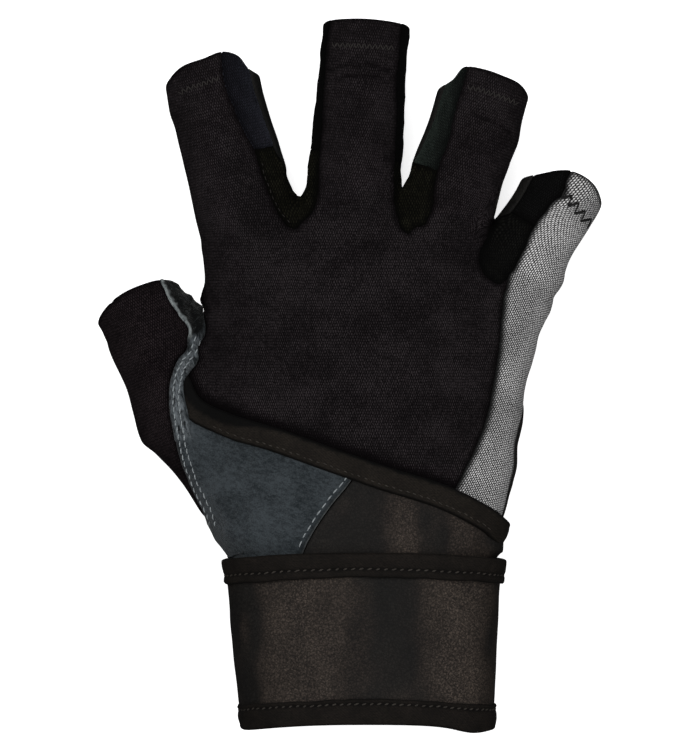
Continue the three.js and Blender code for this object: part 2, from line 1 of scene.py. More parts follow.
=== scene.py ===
"""Looks of a fingerless weightlifting glove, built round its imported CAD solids.

Shapes are worked out in millimetres in the glove's own frame and turned into metres when a mesh is made.
"""

import math

import bmesh
import bpy
import numpy as np
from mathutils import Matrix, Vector


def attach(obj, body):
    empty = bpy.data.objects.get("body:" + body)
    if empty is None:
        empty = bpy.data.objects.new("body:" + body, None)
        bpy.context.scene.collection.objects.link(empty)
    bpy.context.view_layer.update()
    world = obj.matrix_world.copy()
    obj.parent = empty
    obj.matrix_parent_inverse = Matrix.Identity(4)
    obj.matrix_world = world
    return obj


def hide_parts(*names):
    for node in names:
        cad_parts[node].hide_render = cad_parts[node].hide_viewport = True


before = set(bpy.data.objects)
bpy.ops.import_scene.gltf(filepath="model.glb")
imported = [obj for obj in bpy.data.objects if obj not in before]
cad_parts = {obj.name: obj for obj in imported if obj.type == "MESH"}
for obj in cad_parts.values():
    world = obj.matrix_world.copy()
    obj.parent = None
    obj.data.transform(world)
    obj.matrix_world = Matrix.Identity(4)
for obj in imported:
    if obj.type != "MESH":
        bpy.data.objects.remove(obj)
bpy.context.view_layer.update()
BODY = "root"

# Sizes shared with the solids
PALM_WIDTH, HAND_LENGTH, PALM_HEIGHT, FINGER_HEIGHT = 100.0, 160.0, 40.0, 22.0
CLOTH_WALL, GAP = 1.5, 0.3
SEAM = -0.12  # half of the gap between two panels that are sewn together: below 0, so they overlap
STRAP, TAPE, TAPE_WIDTH = 1.6, 1.0, 7.2
BODY_HEM, CUFF_FRONT, CUFF_LENGTH, LAP_INSET, SADDLE_TUCK = 78.0, 56.5, 48.5, 3.0, 11.0
CUFF_BOW, CUFF_START, CUFF_TURN, CUFF_CLIMB = 2.2, 238.0, 350.0, 34.0
CUFF_STEPS, TAPE_START, HOOK_STEPS, HOOK_MARGIN = 44, 5, (37, 42), 9.0
STRAP_SPLIT, SUEDE_FLOOR = 0.62, 0.46
FINGER_SQUARE, THUMB_SQUARE = 2.2, 2.1
HEM_TILT, HEM_PAST = 14.0, 1.6
SHIFT = np.array([-0.20558, -0.22520, 0.0])  # from the glove's frame to the middle of its bounds
FAR = 200.0
HUGE = 1e9
UV_UNIT = 100  # millimetres of cloth to one unit of its coordinates
CURVE_STEP, FINE_STEP = 1.2, 0.8
SKIN_STEP, SLOPE_STEP = 1.0, 0.08
SKIN_LOW, SKIN_HIGH = np.array([-82.0, -82.0, -2.0]), np.array([84.0, 112.0, 50.0])
BATCH = 400000  # points whose field is worked out at once
SETTLE_TURNS = 3
SNAP = 0.22  # a corner this near to a cut, as a share of its edge, moves onto it
RIM_ROWS = (-0.35, -0.9)  # rows of points in from a panel's rim
STRAP_REACH = 40.0  # how far from the strap's leading edge distances are measured

LAP_IN = GAP
LAP_OUT = LAP_IN + STRAP
TAPE_IN = LAP_OUT + GAP
TAPE_OUT = TAPE_IN + TAPE
CUFF_IN = TAPE_OUT + GAP
CUFF_OUT = CUFF_IN + STRAP
CUFF_REAR = -CUFF_FRONT - CUFF_LENGTH

# Sections along each tube: at, left, right, low, high, and for the hand how square
HAND_ROWS = [
    (-0.675, -0.262, 0.376, 0.172, 1.11, 2.5),
    (-0.5, -0.301, 0.393, 0.172, 1.105, 2.5),
    (-0.33, -0.326, 0.415, 0.172, 1.1, 2.5),
    (-0.3, -0.385, 0.438, 0.165, 1.08, 2.4),
    (-0.2375, -0.421, 0.474, 0.065, 1.06, 2.4),
    (-0.125, -0.432, 0.508, -0.03, 1.01, 2.4),
    (0, -0.43, 0.536, -0.04, 0.96, 2.4),
    (0.094, -0.427, 0.562, -0.04, 0.9, 2.4),
    (0.1625, -0.426, 0.55, -0.03, 0.84, 2.3),
    (0.2313, -0.418, 0.44, -0.01, 0.75, 2.2),
    (0.2813, -0.34, 0.38, 0.03, 0.62, 2.1),
    (0.325, -0.25, 0.31, 0.12, 0.4, 2),
]
INDEX_ROWS = [
    (-0.5, -0.47, 0.45, 0.08, 1.3),
    (-0.2, -0.5, 0.5, 0.04, 1.2),
    (0.05, -0.517, 0.512, 0.015, 1.08),
    (0.35, -0.518, 0.492, 0.01, 1),
    (0.6, -0.508, 0.463, 0.01, 0.94),
    (0.72, -0.524, 0.457, 0.01, 0.91),
    (1.06, -0.475, 0.49, 0.02, 0.86),
]
MIDDLE_ROWS = [
    (-0.5, -0.48, 0.48, 0.04, 1.42),
    (-0.2, -0.51, 0.51, 0.03, 1.3),
    (0.07, -0.53, 0.54, 0.015, 1.12),
    (0.3, -0.513, 0.523, 0.01, 1.04),
    (0.55, -0.5, 0.515, 0.01, 0.98),
    (0.75, -0.488, 0.5, 0.01, 0.94),
    (1.05, -0.48, 0.495, 0.02, 0.89),
]
RING_ROWS = [
    (-0.6, -0.44, 0.46, 0.06, 1.34),
    (-0.25, -0.49, 0.5, 0.03, 1.22),
    (0.06, -0.502, 0.522, 0.015, 1.08),
    (0.3, -0.496, 0.49, 0.01, 1.01),
    (0.56, -0.474, 0.506, 0.01, 0.95),
    (0.78, -0.496, 0.472, 0.01, 0.9),
    (1.06, -0.5, 0.48, 0.02, 0.88),
]
LITTLE_ROWS = [
    (-0.95, -0.42, 0.64, 0.06, 1.22),
    (-0.5, -0.46, 0.65, 0.04, 1.1),
    (-0.1, -0.49, 0.62, 0.02, 0.98),
    (0.1, -0.475, 0.57, 0.015, 0.93),
    (0.25, -0.455, 0.547, 0.01, 0.89),
    (0.52, -0.418, 0.562, 0.01, 0.84),
    (0.74, -0.432, 0.568, 0.01, 0.81),
    (0.9, -0.42, 0.55, 0.015, 0.79),
    (1.08, -0.42, 0.53, 0.02, 0.78),
]
THUMB_ROWS = [
    (-0.6, 0.15, 0.6, 0.35, 1.15),
    (-0.45, -0.15, 0.5, 0.12, 1.25),
    (-0.24, -0.235, 0.55, 0.05, 1.2),
    (0, -0.37, 0.57, 0.02, 1.12),
    (0.11, -0.455, 0.57, 0.01, 1.08),
    (0.5, -0.405, 0.585, 0.01, 0.97),
    (0.7, -0.417, 0.635, 0.01, 0.93),
    (0.82, -0.414, 0.61, 0.012, 0.9),
    (0.93, -0.447, 0.565, 0.015, 0.89),
    (1.1, -0.47, 0.5, 0.02, 0.88),
]
# Open ends seen from above: share of the width, share of the length
HEMS = {
    "index": [(-0.52, 0.92), (-0.32, 0.97), (-0.05, 0.985), (0.15, 1), (0.31, 0.955), (0.4, 0.87),
              (0.52, 0.845)],
    "middle": [(-0.55, 1.0), (-0.3, 1.002), (0, 1.008), (0.3, 1.01), (0.55, 1.018)],
    "ring": [(-0.53, 0.82), (-0.4, 0.87), (-0.32, 0.975), (-0.1, 1.004), (0.12, 1.005), (0.33, 1.002),
             (0.5, 0.965)],
    "little": [(-0.5, 0.73), (-0.34, 0.798), (-0.09, 0.95), (0.016, 1.002), (0.11, 1.025), (0.357, 1.015),
               (0.49, 0.965), (0.62, 0.885)],
    "thumb": [(-0.48, 0.93), (-0.12, 1), (0.11, 1.01), (0.4, 0.985), (0.53, 0.865), (0.62, 0.755),
              (0.635, 0.705)],
}
# Seams on top of the fingers: share of the length, share of the width
SEAMS = {
    ("index", "right"): [(-0.13, 0.42), (-0.03, 0.336), (0.08, 0.29), (0.25, 0.26), (0.366, 0.245),
                         (0.5, 0.18), (0.667, 0.133), (0.8, 0.103), (1.1, 0.19)],
    ("middle", "left"): [(-0.09, -0.56), (-0.03, -0.45), (0.05, -0.401), (0.18, -0.405), (0.5, -0.42),
                         (0.78, -0.43), (1.1, -0.4)],
    ("middle", "right"): [(-0.09, 0.62), (-0.03, 0.54), (0.05, 0.5), (0.18, 0.467), (0.5, 0.44),
                          (0.78, 0.41), (1.1, 0.41)],
    ("ring", "left"): [(-0.22, -0.3), (-0.17, -0.206), (-0.046, -0.15), (0.13, -0.207), (0.27, -0.235),
                       (0.46, -0.222), (0.65, -0.257), (0.9, -0.272), (1.1, -0.28)],
    ("ring", "right"): [(-0.22, 0.51), (-0.17, 0.515), (-0.046, 0.53), (0.13, 0.5), (0.27, 0.46),
                        (0.46, 0.445), (0.65, 0.435), (0.9, 0.455), (1.1, 0.455)],
    ("little", "left"): [(-0.353, -0.034), (-0.15, 0.014), (0.05, 0.004), (0.3, -0.027), (0.485, -0.006),
                         (0.66, 0.032), (0.75, 0.09), (0.87, 0.04), (1.15, 0)],
}
# Seen from the side: share of handLength, share of palmHeight
PALM_SEAM = [(-0.75, 0.42), (-0.24, 0.33), (0, 0.25), (0.25, 0.2), (0.38, 0.165), (0.8, 0.15)]
# Seen from above: shares of palmWidth and handLength
THUMB_SEAM = [(-0.565, 0.19), (-0.537, 0.147), (-0.503, 0.114), (-0.472, 0.086), (-0.486, 0.046),
              (-0.509, 0.028), (-0.526, 0.003), (-0.535, -0.036), (-0.532, -0.068), (-0.52, -0.1075),
              (-0.497, -0.159), (-0.469, -0.201), (-0.44, -0.244), (-0.41, -0.29)]
STRIP_SEAM = [(-0.46, 0.25), (-0.438, 0.12), (-0.434, 0.071), (-0.451, 0.0575), (-0.454, 0.0244),
              (-0.48, 0.003), (-0.494, -0.015), (-0.491, -0.044), (-0.48, -0.072), (-0.466, -0.11),
              (-0.45, -0.15)]
SUEDE_EDGE = [(0.06, 0.25), (0.06, -0.13), (0.006, -0.2), (-0.055, -0.2475), (-0.104, -0.294),
              (-0.135, -0.334), (-0.15, -0.5)]
MESH_SEAM = [(0.456, 0.104), (0.453, 0.069), (0.441, 0.014), (0.427, -0.04), (0.404, -0.097),
             (0.37, -0.1475), (0.341, -0.183), (0.315, -0.216), (0.28, -0.6)]
STRAP_CREST = [(-0.6, 0.03), (-0.489, -0.001), (-0.447, -0.044), (-0.355, -0.072), (-0.202, -0.1025),
               (-0.055, -0.136), (0.104, -0.171), (0.306, -0.213), (0.38, -0.236), (0.44, -0.26),
               (0.47, -0.279), (0.6, -0.282)]
# Left finger, right finger, dip across and along, and how far up each finger the web reaches
WEBS = [
    ("index", "middle", -0.161, 0.2756, 0.37, 0.3),
    ("middle", "ring", 0.18, 0.266, 0.27, 0.24),
    ("ring", "little", 0.41, 0.185, 0.03, 0.33),
]
STRIPS = [("index", "right", 0.37), ("middle", "left", 0.3), ("middle", "right", 0.27),
          ("ring", "left", 0.24), ("little", "left", 0.33)]
PAST = {"index": 0.56, "middle": 0.56, "ring": 0.56, "little": 0.49}


# Curves and distances
def smooth(xs, ys):
    """A monotone cubic through points, level past its ends."""
    xs, ys = np.asarray(xs, float), np.asarray(ys, float)
    h = np.diff(xs)
    d = np.diff(ys) / h
    slopes = np.zeros(len(xs))
    slopes[0], slopes[-1] = d[0], d[-1]
    same = d[:-1] * d[1:] > 0
    w1, w2 = 2 * h[1:] + h[:-1], h[1:] + 2 * h[:-1]
    with np.errstate(divide="ignore", invalid="ignore"):
        slopes[1:-1] = np.where(same, (w1 + w2) / (w1 / d[:-1] + w2 / d[1:]), 0.0)

    def value(x):
        x = np.clip(x, xs[0], xs[-1])
        i = np.clip(np.searchsorted(xs, x) - 1, 0, len(xs) - 2)
        t = (x - xs[i]) / h[i]
        rise = t * t * (3 - 2 * t)
        return (
            ys[i] * (1 - rise)
            + ys[i + 1] * rise
            + h[i] * (slopes[i] * t * (1 - t) ** 2 - slopes[i + 1] * t * t * (1 - t))
        )

    return value


def spline(points, step=CURVE_STEP):
    """A smooth open curve through points, in even steps."""
    p = np.asarray(points, float)
    chord = np.r_[0, np.cumsum(np.linalg.norm(np.diff(p, axis=0), axis=1))]
    tangents = np.zeros_like(p)
    d = np.diff(p, axis=0) / np.diff(chord)[:, None]
    h = np.diff(chord)[:, None]
    tangents[1:-1] = (d[:-1] * h[1:] + d[1:] * h[:-1]) / (h[:-1] + h[1:])
    tangents[0], tangents[-1] = 1.5 * d[0] - 0.5 * tangents[1], 1.5 * d[-1] - 0.5 * tangents[-2]
    s = np.linspace(0, chord[-1], max(2, int(chord[-1] / step) + 1))
    i = np.clip(np.searchsorted(chord, s) - 1, 0, len(p) - 2)
    t = ((s - chord[i]) / np.diff(chord)[i])[:, None]
    span = np.diff(chord)[i][:, None]
    rise = t * t * (3 - 2 * t)
    return (
        p[i] * (1 - rise)
        + p[i + 1] * rise
        + span * (tangents[i] * t * (1 - t) ** 2 - tangents[i + 1] * t * t * (1 - t))
    )


def step_up(x, start, end):
    """0 before start, 1 after end, smooth between them."""
    t = np.clip((x - start) / (end - start), 0, 1)
    return t * t * (3 - 2 * t)


def bell(x, middle, width):
    """1 at the middle, fading to both sides."""
    return np.exp(-(((x - middle) / width) ** 2))


def outline_distance(outline, points, reach=16.0):
    """Distance from points to a closed outline seen from above, negative inside. It stops at reach."""
    xy = points[:, :2]
    a = np.asarray(outline, float)
    b = np.roll(a, -1, 0)
    found = np.full(len(xy), reach)
    lo, hi = a.min(0) - reach, a.max(0) + reach
    near = np.flatnonzero(np.all((xy > lo) & (xy < hi), axis=1))
    p = xy[near]
    best = np.full(len(p), HUGE)
    inside = np.zeros(len(p), bool)
    for (ax, ay), (bx, by) in zip(a, b):
        ex, ey = bx - ax, by - ay
        long2 = ex * ex + ey * ey
        if long2 < 1e-12:
            continue
        px, py = p[:, 0] - ax, p[:, 1] - ay
        t = np.clip((px * ex + py * ey) / long2, 0, 1)
        best = np.minimum(best, (px - t * ex) ** 2 + (py - t * ey) ** 2)
        if ay != by:
            crosses = (ay > p[:, 1]) != (by > p[:, 1])
            inside ^= crosses & (p[:, 0] < ax + (p[:, 1] - ay) * ex / ey)
    distance = np.sqrt(best)
    found[near] = np.clip(np.where(inside, -distance, distance), -reach, reach)
    return found


def soft_min(a, b, k):
    h = np.clip(0.5 + 0.5 * (b - a) / k, 0, 1)
    return b + (a - b) * h - k * h * (1 - h)


def soft_max(a, b, k):
    return -soft_min(-a, -b, k)


class Tube:
    """The hand or a finger: a run of squared ellipses along a leaning axis."""

    def __init__(self, root, lean, length, width, height, rows, square=FINGER_SQUARE):
        self.root = np.array([root[0] * PALM_WIDTH, root[1] * HAND_LENGTH])
        self.turn = math.radians(lean)
        self.length, self.width, self.height = length, width, height
        table = np.array([(*row, square)[:6] for row in rows], float).T
        self.span = table[0][[0, -1]] * length
        self.shares = [smooth(table[0], column) for column in table[1:]]

    def place(self, across, along):
        s, c = math.sin(self.turn), math.cos(self.turn)
        x = self.root[0] + np.asarray(along) * s + np.asarray(across) * c
        y = self.root[1] + np.asarray(along) * c - np.asarray(across) * s
        return np.stack([x, y], -1)

    def local(self, x, y):
        s, c = math.sin(self.turn), math.cos(self.turn)
        x, y = x - self.root[0], y - self.root[1]
        return x * c - y * s, x * s + y * c

    def section(self, along):
        left, right, low, high, square = (share(along / self.length) for share in self.shares)
        return (
            (left + right) / 2 * self.width,
            (right - left) / 2 * self.width,
            (low + high) / 2 * self.height,
            (high - low) / 2 * self.height,
            square,
        )

    def field(self, p):
        across, along = self.local(p[:, 0], p[:, 1])
        middle, half_width, level, half_height, square = self.section(along)
        dx, dz = across - middle, p[:, 2] - level
        ratio = (np.abs(dx / half_width) ** square + np.abs(dz / half_height) ** square) ** (1 / square)
        ratio = np.maximum(ratio, 1e-3)
        reach = np.sqrt(dx * dx + dz * dz)
        side = np.where(ratio > 2e-3, reach * (1 - 1 / ratio), -np.minimum(half_width, half_height))
        ends = np.maximum(self.span[0] - along, along - self.span[1])
        return soft_max(side, ends, 5.0)


HAND = Tube((0, 0), 0, HAND_LENGTH, PALM_WIDTH, PALM_HEIGHT, HAND_ROWS)
FINGERS = {
    "index": Tube((-0.309, 0.3), -13.4, 49.5, 0.29 * PALM_WIDTH, FINGER_HEIGHT, INDEX_ROWS),
    "middle": Tube((0.006, 0.309), 4.6, 57.4, 0.266 * PALM_WIDTH, FINGER_HEIGHT, MIDDLE_ROWS),
    "ring": Tube((0.291, 0.309), 18.6, 43.8, 0.276 * PALM_WIDTH, FINGER_HEIGHT, RING_ROWS),
    "little": Tube((0.513, 0.2244), 30, 29.8, 0.25 * PALM_WIDTH, FINGER_HEIGHT, LITTLE_ROWS),
}
THUMB = Tube((-0.477, -0.1225), -22, 48.2, 30.0, 26.0, THUMB_ROWS, THUMB_SQUARE)
ENDS = {**FINGERS, "thumb": THUMB}


def body_field(p):
    """Below 0 inside the filled glove, in millimetres near its skin."""
    fingers = None
    for tube in FINGERS.values():
        near = tube.field(p)
        fingers = near if fingers is None else soft_min(fingers, near, 1.4)
    whole = soft_min(HAND.field(p), fingers, 6.0)
    whole = soft_min(whole, THUMB.field(p), 7.0)
    return soft_max(whole, -p[:, 2], 1.6)


def body_normals(p):
    slopes = np.empty_like(p)
    for axis in range(3):
        step = np.zeros(3)
        step[axis] = SLOPE_STEP
        slopes[:, axis] = (body_field(p + step) - body_field(p - step)) / (2 * SLOPE_STEP)
    return slopes


def unit(v):
    return v / np.maximum(np.linalg.norm(v, axis=-1, keepdims=True), 1e-9)


def settle(p):
    """Moves points onto the skin."""
    for _ in range(SETTLE_TURNS):
        slopes = body_normals(p)
        p = p - slopes * (body_field(p) / np.maximum((slopes**2).sum(1), 0.05))[:, None]
    return p


# Skin of the filled glove as one mesh
def skin_mesh():
    axes = [np.arange(SKIN_LOW[k], SKIN_HIGH[k] + SKIN_STEP, SKIN_STEP) for k in range(3)]
    shape = tuple(len(a) for a in axes)
    grid = np.stack(np.meshgrid(*axes, indexing="ij"), -1).reshape(-1, 3)
    values = np.empty(len(grid))
    for start in range(0, len(grid), BATCH):
        part = slice(start, start + BATCH)
        values[part] = body_field(grid[part])
    values = values.reshape(shape)
    inside = values < 0
    corners = [(i, j, k) for i in (0, 1) for j in (0, 1) for k in (0, 1)]
    cells = tuple(n - 1 for n in shape)

    def corner(array, i, j, k):
        return array[i : i + cells[0], j : j + cells[1], k : k + cells[2]]

    count = sum(corner(inside, *c).astype(np.int8) for c in corners)
    mixed = (count > 0) & (count < 8)
    index = np.full(cells, -1, np.int64)
    index[mixed] = np.arange(mixed.sum())
    base = np.argwhere(mixed)
    total = np.zeros((len(base), 3))
    hits = np.zeros(len(base))
    for axis in range(3):
        for c in corners:
            if c[axis]:
                continue
            other = list(c)
            other[axis] = 1
            va = corner(values, *c)[mixed]
            vb = corner(values, *other)[mixed]
            cross = (va < 0) != (vb < 0)
            t = np.where(cross, va / np.where(cross, va - vb, 1), 0)
            point = np.array(c, float)[None].repeat(len(base), 0)
            point[:, axis] = t
            total[cross] += point[cross]
            hits[cross] += 1
    verts = (base + total / hits[:, None]) * SKIN_STEP + SKIN_LOW

    quads = []
    for axis in range(3):
        b, c = (axis + 1) % 3, (axis + 2) % 3
        first = [slice(None)] * 3
        second = [slice(None)] * 3
        first[axis], second[axis] = slice(0, -1), slice(1, None)
        change = inside[tuple(first)] != inside[tuple(second)]
        where = np.argwhere(change)
        keep = (where[:, b] > 0) & (where[:, b] < shape[b] - 1)
        keep &= (where[:, c] > 0) & (where[:, c] < shape[c] - 1)
        where = where[keep]
        outward = inside[tuple(where.T)]
        ring = []
        for db, dc in ((-1, -1), (0, -1), (0, 0), (-1, 0)):
            cell = where.copy()
            cell[:, b] += db
            cell[:, c] += dc
            ring.append(index[tuple(cell.T)])
        ring = np.stack(ring, 1)
        ring[~outward] = ring[~outward][:, ::-1]
        quads.append(ring)
    quads = np.concatenate(quads)
    verts = settle(verts)
    p = verts[quads]
    short = np.linalg.norm(p[:, 0] - p[:, 2], axis=1) < np.linalg.norm(p[:, 1] - p[:, 3], axis=1)
    ways = np.where(short[:, None], np.array([[0, 1, 2, 0, 2, 3]]), np.array([[0, 1, 3, 1, 2, 3]]))
    tris = np.take_along_axis(quads, ways, 1).reshape(-1, 3)
    return verts, tris


def split(verts, tris, values, level):
    """Cuts triangles where values cross a level, moving corners that are already close onto it."""
    values = values - level
    edges = np.unique(np.sort(np.concatenate([tris[:, [0, 1]], tris[:, [1, 2]], tris[:, [2, 0]]]), 1), axis=0)
    fa, fb = values[edges[:, 0]], values[edges[:, 1]]
    cross = fa * fb < 0
    edges, fa, fb = edges[cross], fa[cross], fb[cross]
    t = fa / (fa - fb)
    owner = np.r_[edges[:, 0], edges[:, 1]]
    share = np.r_[t, 1 - t]
    point = verts[edges[:, 0]] + (verts[edges[:, 1]] - verts[edges[:, 0]]) * t[:, None]
    point = np.r_[point, point]
    order = np.argsort(share, kind="stable")
    owner, share, point = owner[order], share[order], point[order]
    _, firsts = np.unique(owner, return_index=True)
    firsts = firsts[share[firsts] < SNAP]
    verts, values = verts.copy(), values.copy()
    verts[owner[firsts]] = point[firsts]
    values[owner[firsts]] = 0.0
    values[np.abs(values) < 1e-7] = 0.0

    fa, fb = values[edges[:, 0]], values[edges[:, 1]]
    cross = fa * fb < 0
    edges, fa, fb = edges[cross], fa[cross], fb[cross]
    t = fa / (fa - fb)
    fresh = verts[edges[:, 0]] + (verts[edges[:, 1]] - verts[edges[:, 0]]) * t[:, None]
    size = len(verts)
    keys = edges[:, 0] * size + edges[:, 1]
    order = np.argsort(keys)
    keys, numbers = keys[order], size + order
    verts = np.concatenate([verts, fresh])
    values = np.concatenate([values, np.zeros(len(fresh))])

    def middle(a, b):
        key = np.minimum(a, b) * size + np.maximum(a, b)
        return numbers[np.searchsorted(keys, key)]

    signs = np.sign(values[tris])
    cut = (signs.min(1) < 0) & (signs.max(1) > 0)
    made = [tris[~cut]]
    pieces, signs = tris[cut], signs[cut]
    for turn in range(3):
        order = [turn, (turn + 1) % 3, (turn + 2) % 3]
        a, b, c = (pieces[:, k] for k in order)
        sa, sb, sc = (signs[:, k] for k in order)
        flat = (sa == 0) & (sb * sc < 0)
        if flat.any():
            m = middle(b[flat], c[flat])
            made.append(np.stack([a[flat], b[flat], m], 1))
            made.append(np.stack([a[flat], m, c[flat]], 1))
        lone = (sa * sb < 0) & (sa * sc < 0)
        if lone.any():
            ab, ac = middle(a[lone], b[lone]), middle(a[lone], c[lone])
            made.append(np.stack([a[lone], ab, ac], 1))
            made.append(np.stack([ab, b[lone], ac], 1))
            made.append(np.stack([b[lone], c[lone], ac], 1))
    return verts, np.concatenate(made), values + level


def compact(verts, tris, *more):
    used, back = np.unique(tris, return_inverse=True)
    return (verts[used], back.reshape(-1, 3), *[m[used] for m in more])


def biggest(verts, tris, values):
    """Keeps the largest connected piece."""
    label = np.arange(len(verts))
    while True:
        low = label[tris].min(1)
        new = label.copy()
        np.minimum.at(new, tris.ravel(), np.repeat(low, 3))
        new = new[new]
        if (new == label).all():
            break
        label = new
    groups, counts = np.unique(label[tris[:, 0]], return_counts=True)
    keep = label[tris[:, 0]] == groups[counts.argmax()]
    return compact(verts, tris[keep], values)


def rim_edges(tris):
    """Edges that only one triangle has, in that triangle's direction."""
    edges = np.concatenate([tris[:, [0, 1]], tris[:, [1, 2]], tris[:, [2, 0]]])
    key = np.sort(edges, 1)
    key = key[:, 0] * (tris.max() + 1) + key[:, 1]
    _, first, counts = np.unique(key, return_index=True, return_counts=True)
    return edges[first[counts == 1]]


# Blender objects
def make_object(name, verts, faces, paint, uv=None, masks=None):
    """A mesh of the given points, in millimetres."""
    mesh = bpy.data.meshes.new(name)
    mesh.from_pydata(((verts + SHIFT) / 1000).tolist(), [], [list(map(int, f)) for f in faces])
    mesh.update()
    if uv is not None:
        loops = np.empty(len(mesh.loops), np.int32)
        mesh.loops.foreach_get("vertex_index", loops)
        layer = mesh.uv_layers.new(name="cloth")
        layer.data.foreach_set("uv", (np.asarray(uv)[loops] / UV_UNIT).ravel().astype(np.float32))
    for key, values in (masks or {}).items():
        mask = mesh.attributes.new(key, "FLOAT", "POINT")
        mask.data.foreach_set("value", np.asarray(values, np.float32))
    mesh.polygons.foreach_set("use_smooth", [True] * len(mesh.polygons))
    mesh.materials.append(paint)
    obj = bpy.data.objects.new(name, mesh)
    bpy.context.scene.collection.objects.link(obj)
    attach(obj, BODY)
    return obj


def wave_noise(p, scale, seed):
    """Soft repeatable noise between about -1 and 1, from a sum of waves."""
    rng = np.random.default_rng(seed)
    total = np.zeros(len(p))
    for _ in range(9):
        way = rng.normal(size=3)
        way *= rng.uniform(0.6, 1.5) * 2 * math.pi / scale / np.linalg.norm(way)
        total += np.sin(p @ way + rng.uniform(0, 2 * math.pi))
    return total / 4.2


def fold_line(p, points, width, depth):
    """A soft groove along a line seen from above."""
    line = np.asarray(points, float)
    best = np.full(len(p), HUGE)
    for a, b in zip(line[:-1], line[1:]):
        e = b - a
        t = np.clip(((p[:, :2] - a) @ e) / (e @ e), 0, 1)
        best = np.minimum(best, np.linalg.norm(p[:, :2] - a - t[:, None] * e, axis=1))
    ends = step_up(best, 3 * width, 0)
    return -depth * bell(best, 0, width) * ends


# Creases across the fingers, seen from above
CREASES = [
    [(-6, 91.6), (0, 93.0), (6, 92.9), (13, 91.2)],
    [(-4, 88.9), (2, 89.8), (9, 89.3)],
    [(38, 77.4), (43, 76), (48.5, 72.6)],
]
# Slack folds in the cloth: points seen from above, half width, depth
FOLDS = [
    (CREASES[0], 0.8, 0.6),
    (CREASES[1], 0.8, 0.35),
    (CREASES[2], 0.8, 0.5),
    ([(-20, 48), (-16, 42), (-11, 39)], 2.5, 0.5),
    ([(18, 40), (22, 44), (26, 48)], 2.5, 0.45),
    ([(40, 22), (38, 8), (35, -8)], 3.0, 0.35),
    ([(-58, 6), (-54, -4), (-52, -14)], 2.2, 0.4),
    ([(-72, 10), (-66, 14), (-60, 15)], 1.6, 0.3),
]
# Ripples down the outer side of the hand: where along it, half length, how far out
RIPPLES = [(28.2, 2.4, 0.55), (23.2, 1.5, -0.45), (18.8, 2.4, 0.5), (11.5, 3.2, -0.55), (2.5, 3.0, 0.3),
           (-14, 3.0, 0.35), (-21, 2.5, -0.2), (-28, 3.0, 0.3), (-36, 2.5, -0.2)]


def side_ripples(p):
    side = step_up(p[:, 0], 42, 50)
    return sum(out * bell(p[:, 1], at, half) for at, half, out in RIPPLES) * side


def skin_folds(p):
    top = step_up(p[:, 2], 4, 12)
    moved = 0.22 * wave_noise(p, 26, 3) + 0.1 * wave_noise(p, 11, 4)
    for points, width, depth in FOLDS:
        moved = moved + fold_line(p, points, width, depth)
    return (moved + side_ripples(p)) * top


def roll_off(depth, radius, drop):
    """How far an edge's rounded corner lies under the face, at a depth in from the edge."""
    t = np.clip(1 - depth / radius, 0, 1)
    return drop * (1 - np.sqrt(np.maximum(1 - t * t, 0)))


# Outlines of the panels seen from above, and the fields that they make
def plan_curve(table):
    return [(across * PALM_WIDTH, at * HAND_LENGTH) for across, at in table]


def right_of(line):
    return np.r_[line, [(FAR, line[-1][1]), (FAR, line[0][1])]]


def left_of(line):
    return np.r_[line, [(-FAR, line[-1][1]), (-FAR, line[0][1])]]


def seam_part(finger, side, start, end):
    """One seam of a finger between two shares of its length."""
    rows = np.array(SEAMS[finger, side])
    tube = FINGERS[finger]
    across = smooth(rows[:, 0], rows[:, 1])
    at = np.arange(start, end, CURVE_STEP / tube.length)
    at = np.r_[at, end]
    return tube.place(across(at) * tube.width, at * tube.length)


def seam_ends(finger, side):
    rows = SEAMS[finger, side]
    return rows[0][0], rows[-1][0]


def web_outline(web):
    left, right, across, at, left_reach, right_reach = web
    a, b = FINGERS[left], FINGERS[right]
    down = seam_part(left, "right", seam_ends(left, "right")[0], left_reach)[::-1]
    up = seam_part(right, "left", seam_ends(right, "left")[0], right_reach)
    dip = np.array([(across * PALM_WIDTH, at * HAND_LENGTH)])
    bend = spline([down[-4], down[-1], dip[0], up[0], up[3]], FINE_STEP)
    return np.r_[
        [a.place(PAST[left] * a.width, left_reach * a.length)],
        down[:-4],
        bend,
        up[4:],
        [b.place(-PAST[right] * b.width, right_reach * b.length)],
    ]


def strip_outline(finger, side, start):
    tube = FINGERS[finger]
    across = (1 if side == "right" else -1) * PAST[finger] * tube.width
    end = seam_ends(finger, side)[1]
    return np.r_[
        seam_part(finger, side, start, end),
        [tube.place(across, end * tube.length), tube.place(across, start * tube.length)],
    ]


thumb_line = spline(plan_curve(THUMB_SEAM))
strip_line = spline(plan_curve(STRIP_SEAM))
suede_line = spline(plan_curve(SUEDE_EDGE))
crest_line = spline(plan_curve(STRAP_CREST))
little_start, little_end = seam_ends("little", "left")
mesh_line = np.r_[
    seam_part("little", "left", little_start, little_end)[::-1][:-3],
    spline([seam_part("little", "left", little_start, little_end)[3], *plan_curve(MESH_SEAM)]),
]
STRIP_END = 20.0
strip_area = np.r_[
    thumb_line[thumb_line[:, 1] > -STRIP_END],
    strip_line[strip_line[:, 1] > -STRIP_END][::-1],
]
REGIONS = {
    "thumb_back": left_of(thumb_line),
    "mesh_panel": right_of(mesh_line),
    "suede_saddle": strip_area,
}
for web in WEBS:
    REGIONS[f"web_{web[0]}_{web[1]}"] = web_outline(web)
for strip in STRIPS:
    REGIONS[f"strip_{strip[0]}_{strip[1]}"] = strip_outline(*strip)

palm_rise = smooth([r[0] * HAND_LENGTH for r in PALM_SEAM], [r[1] * PALM_HEIGHT for r in PALM_SEAM])
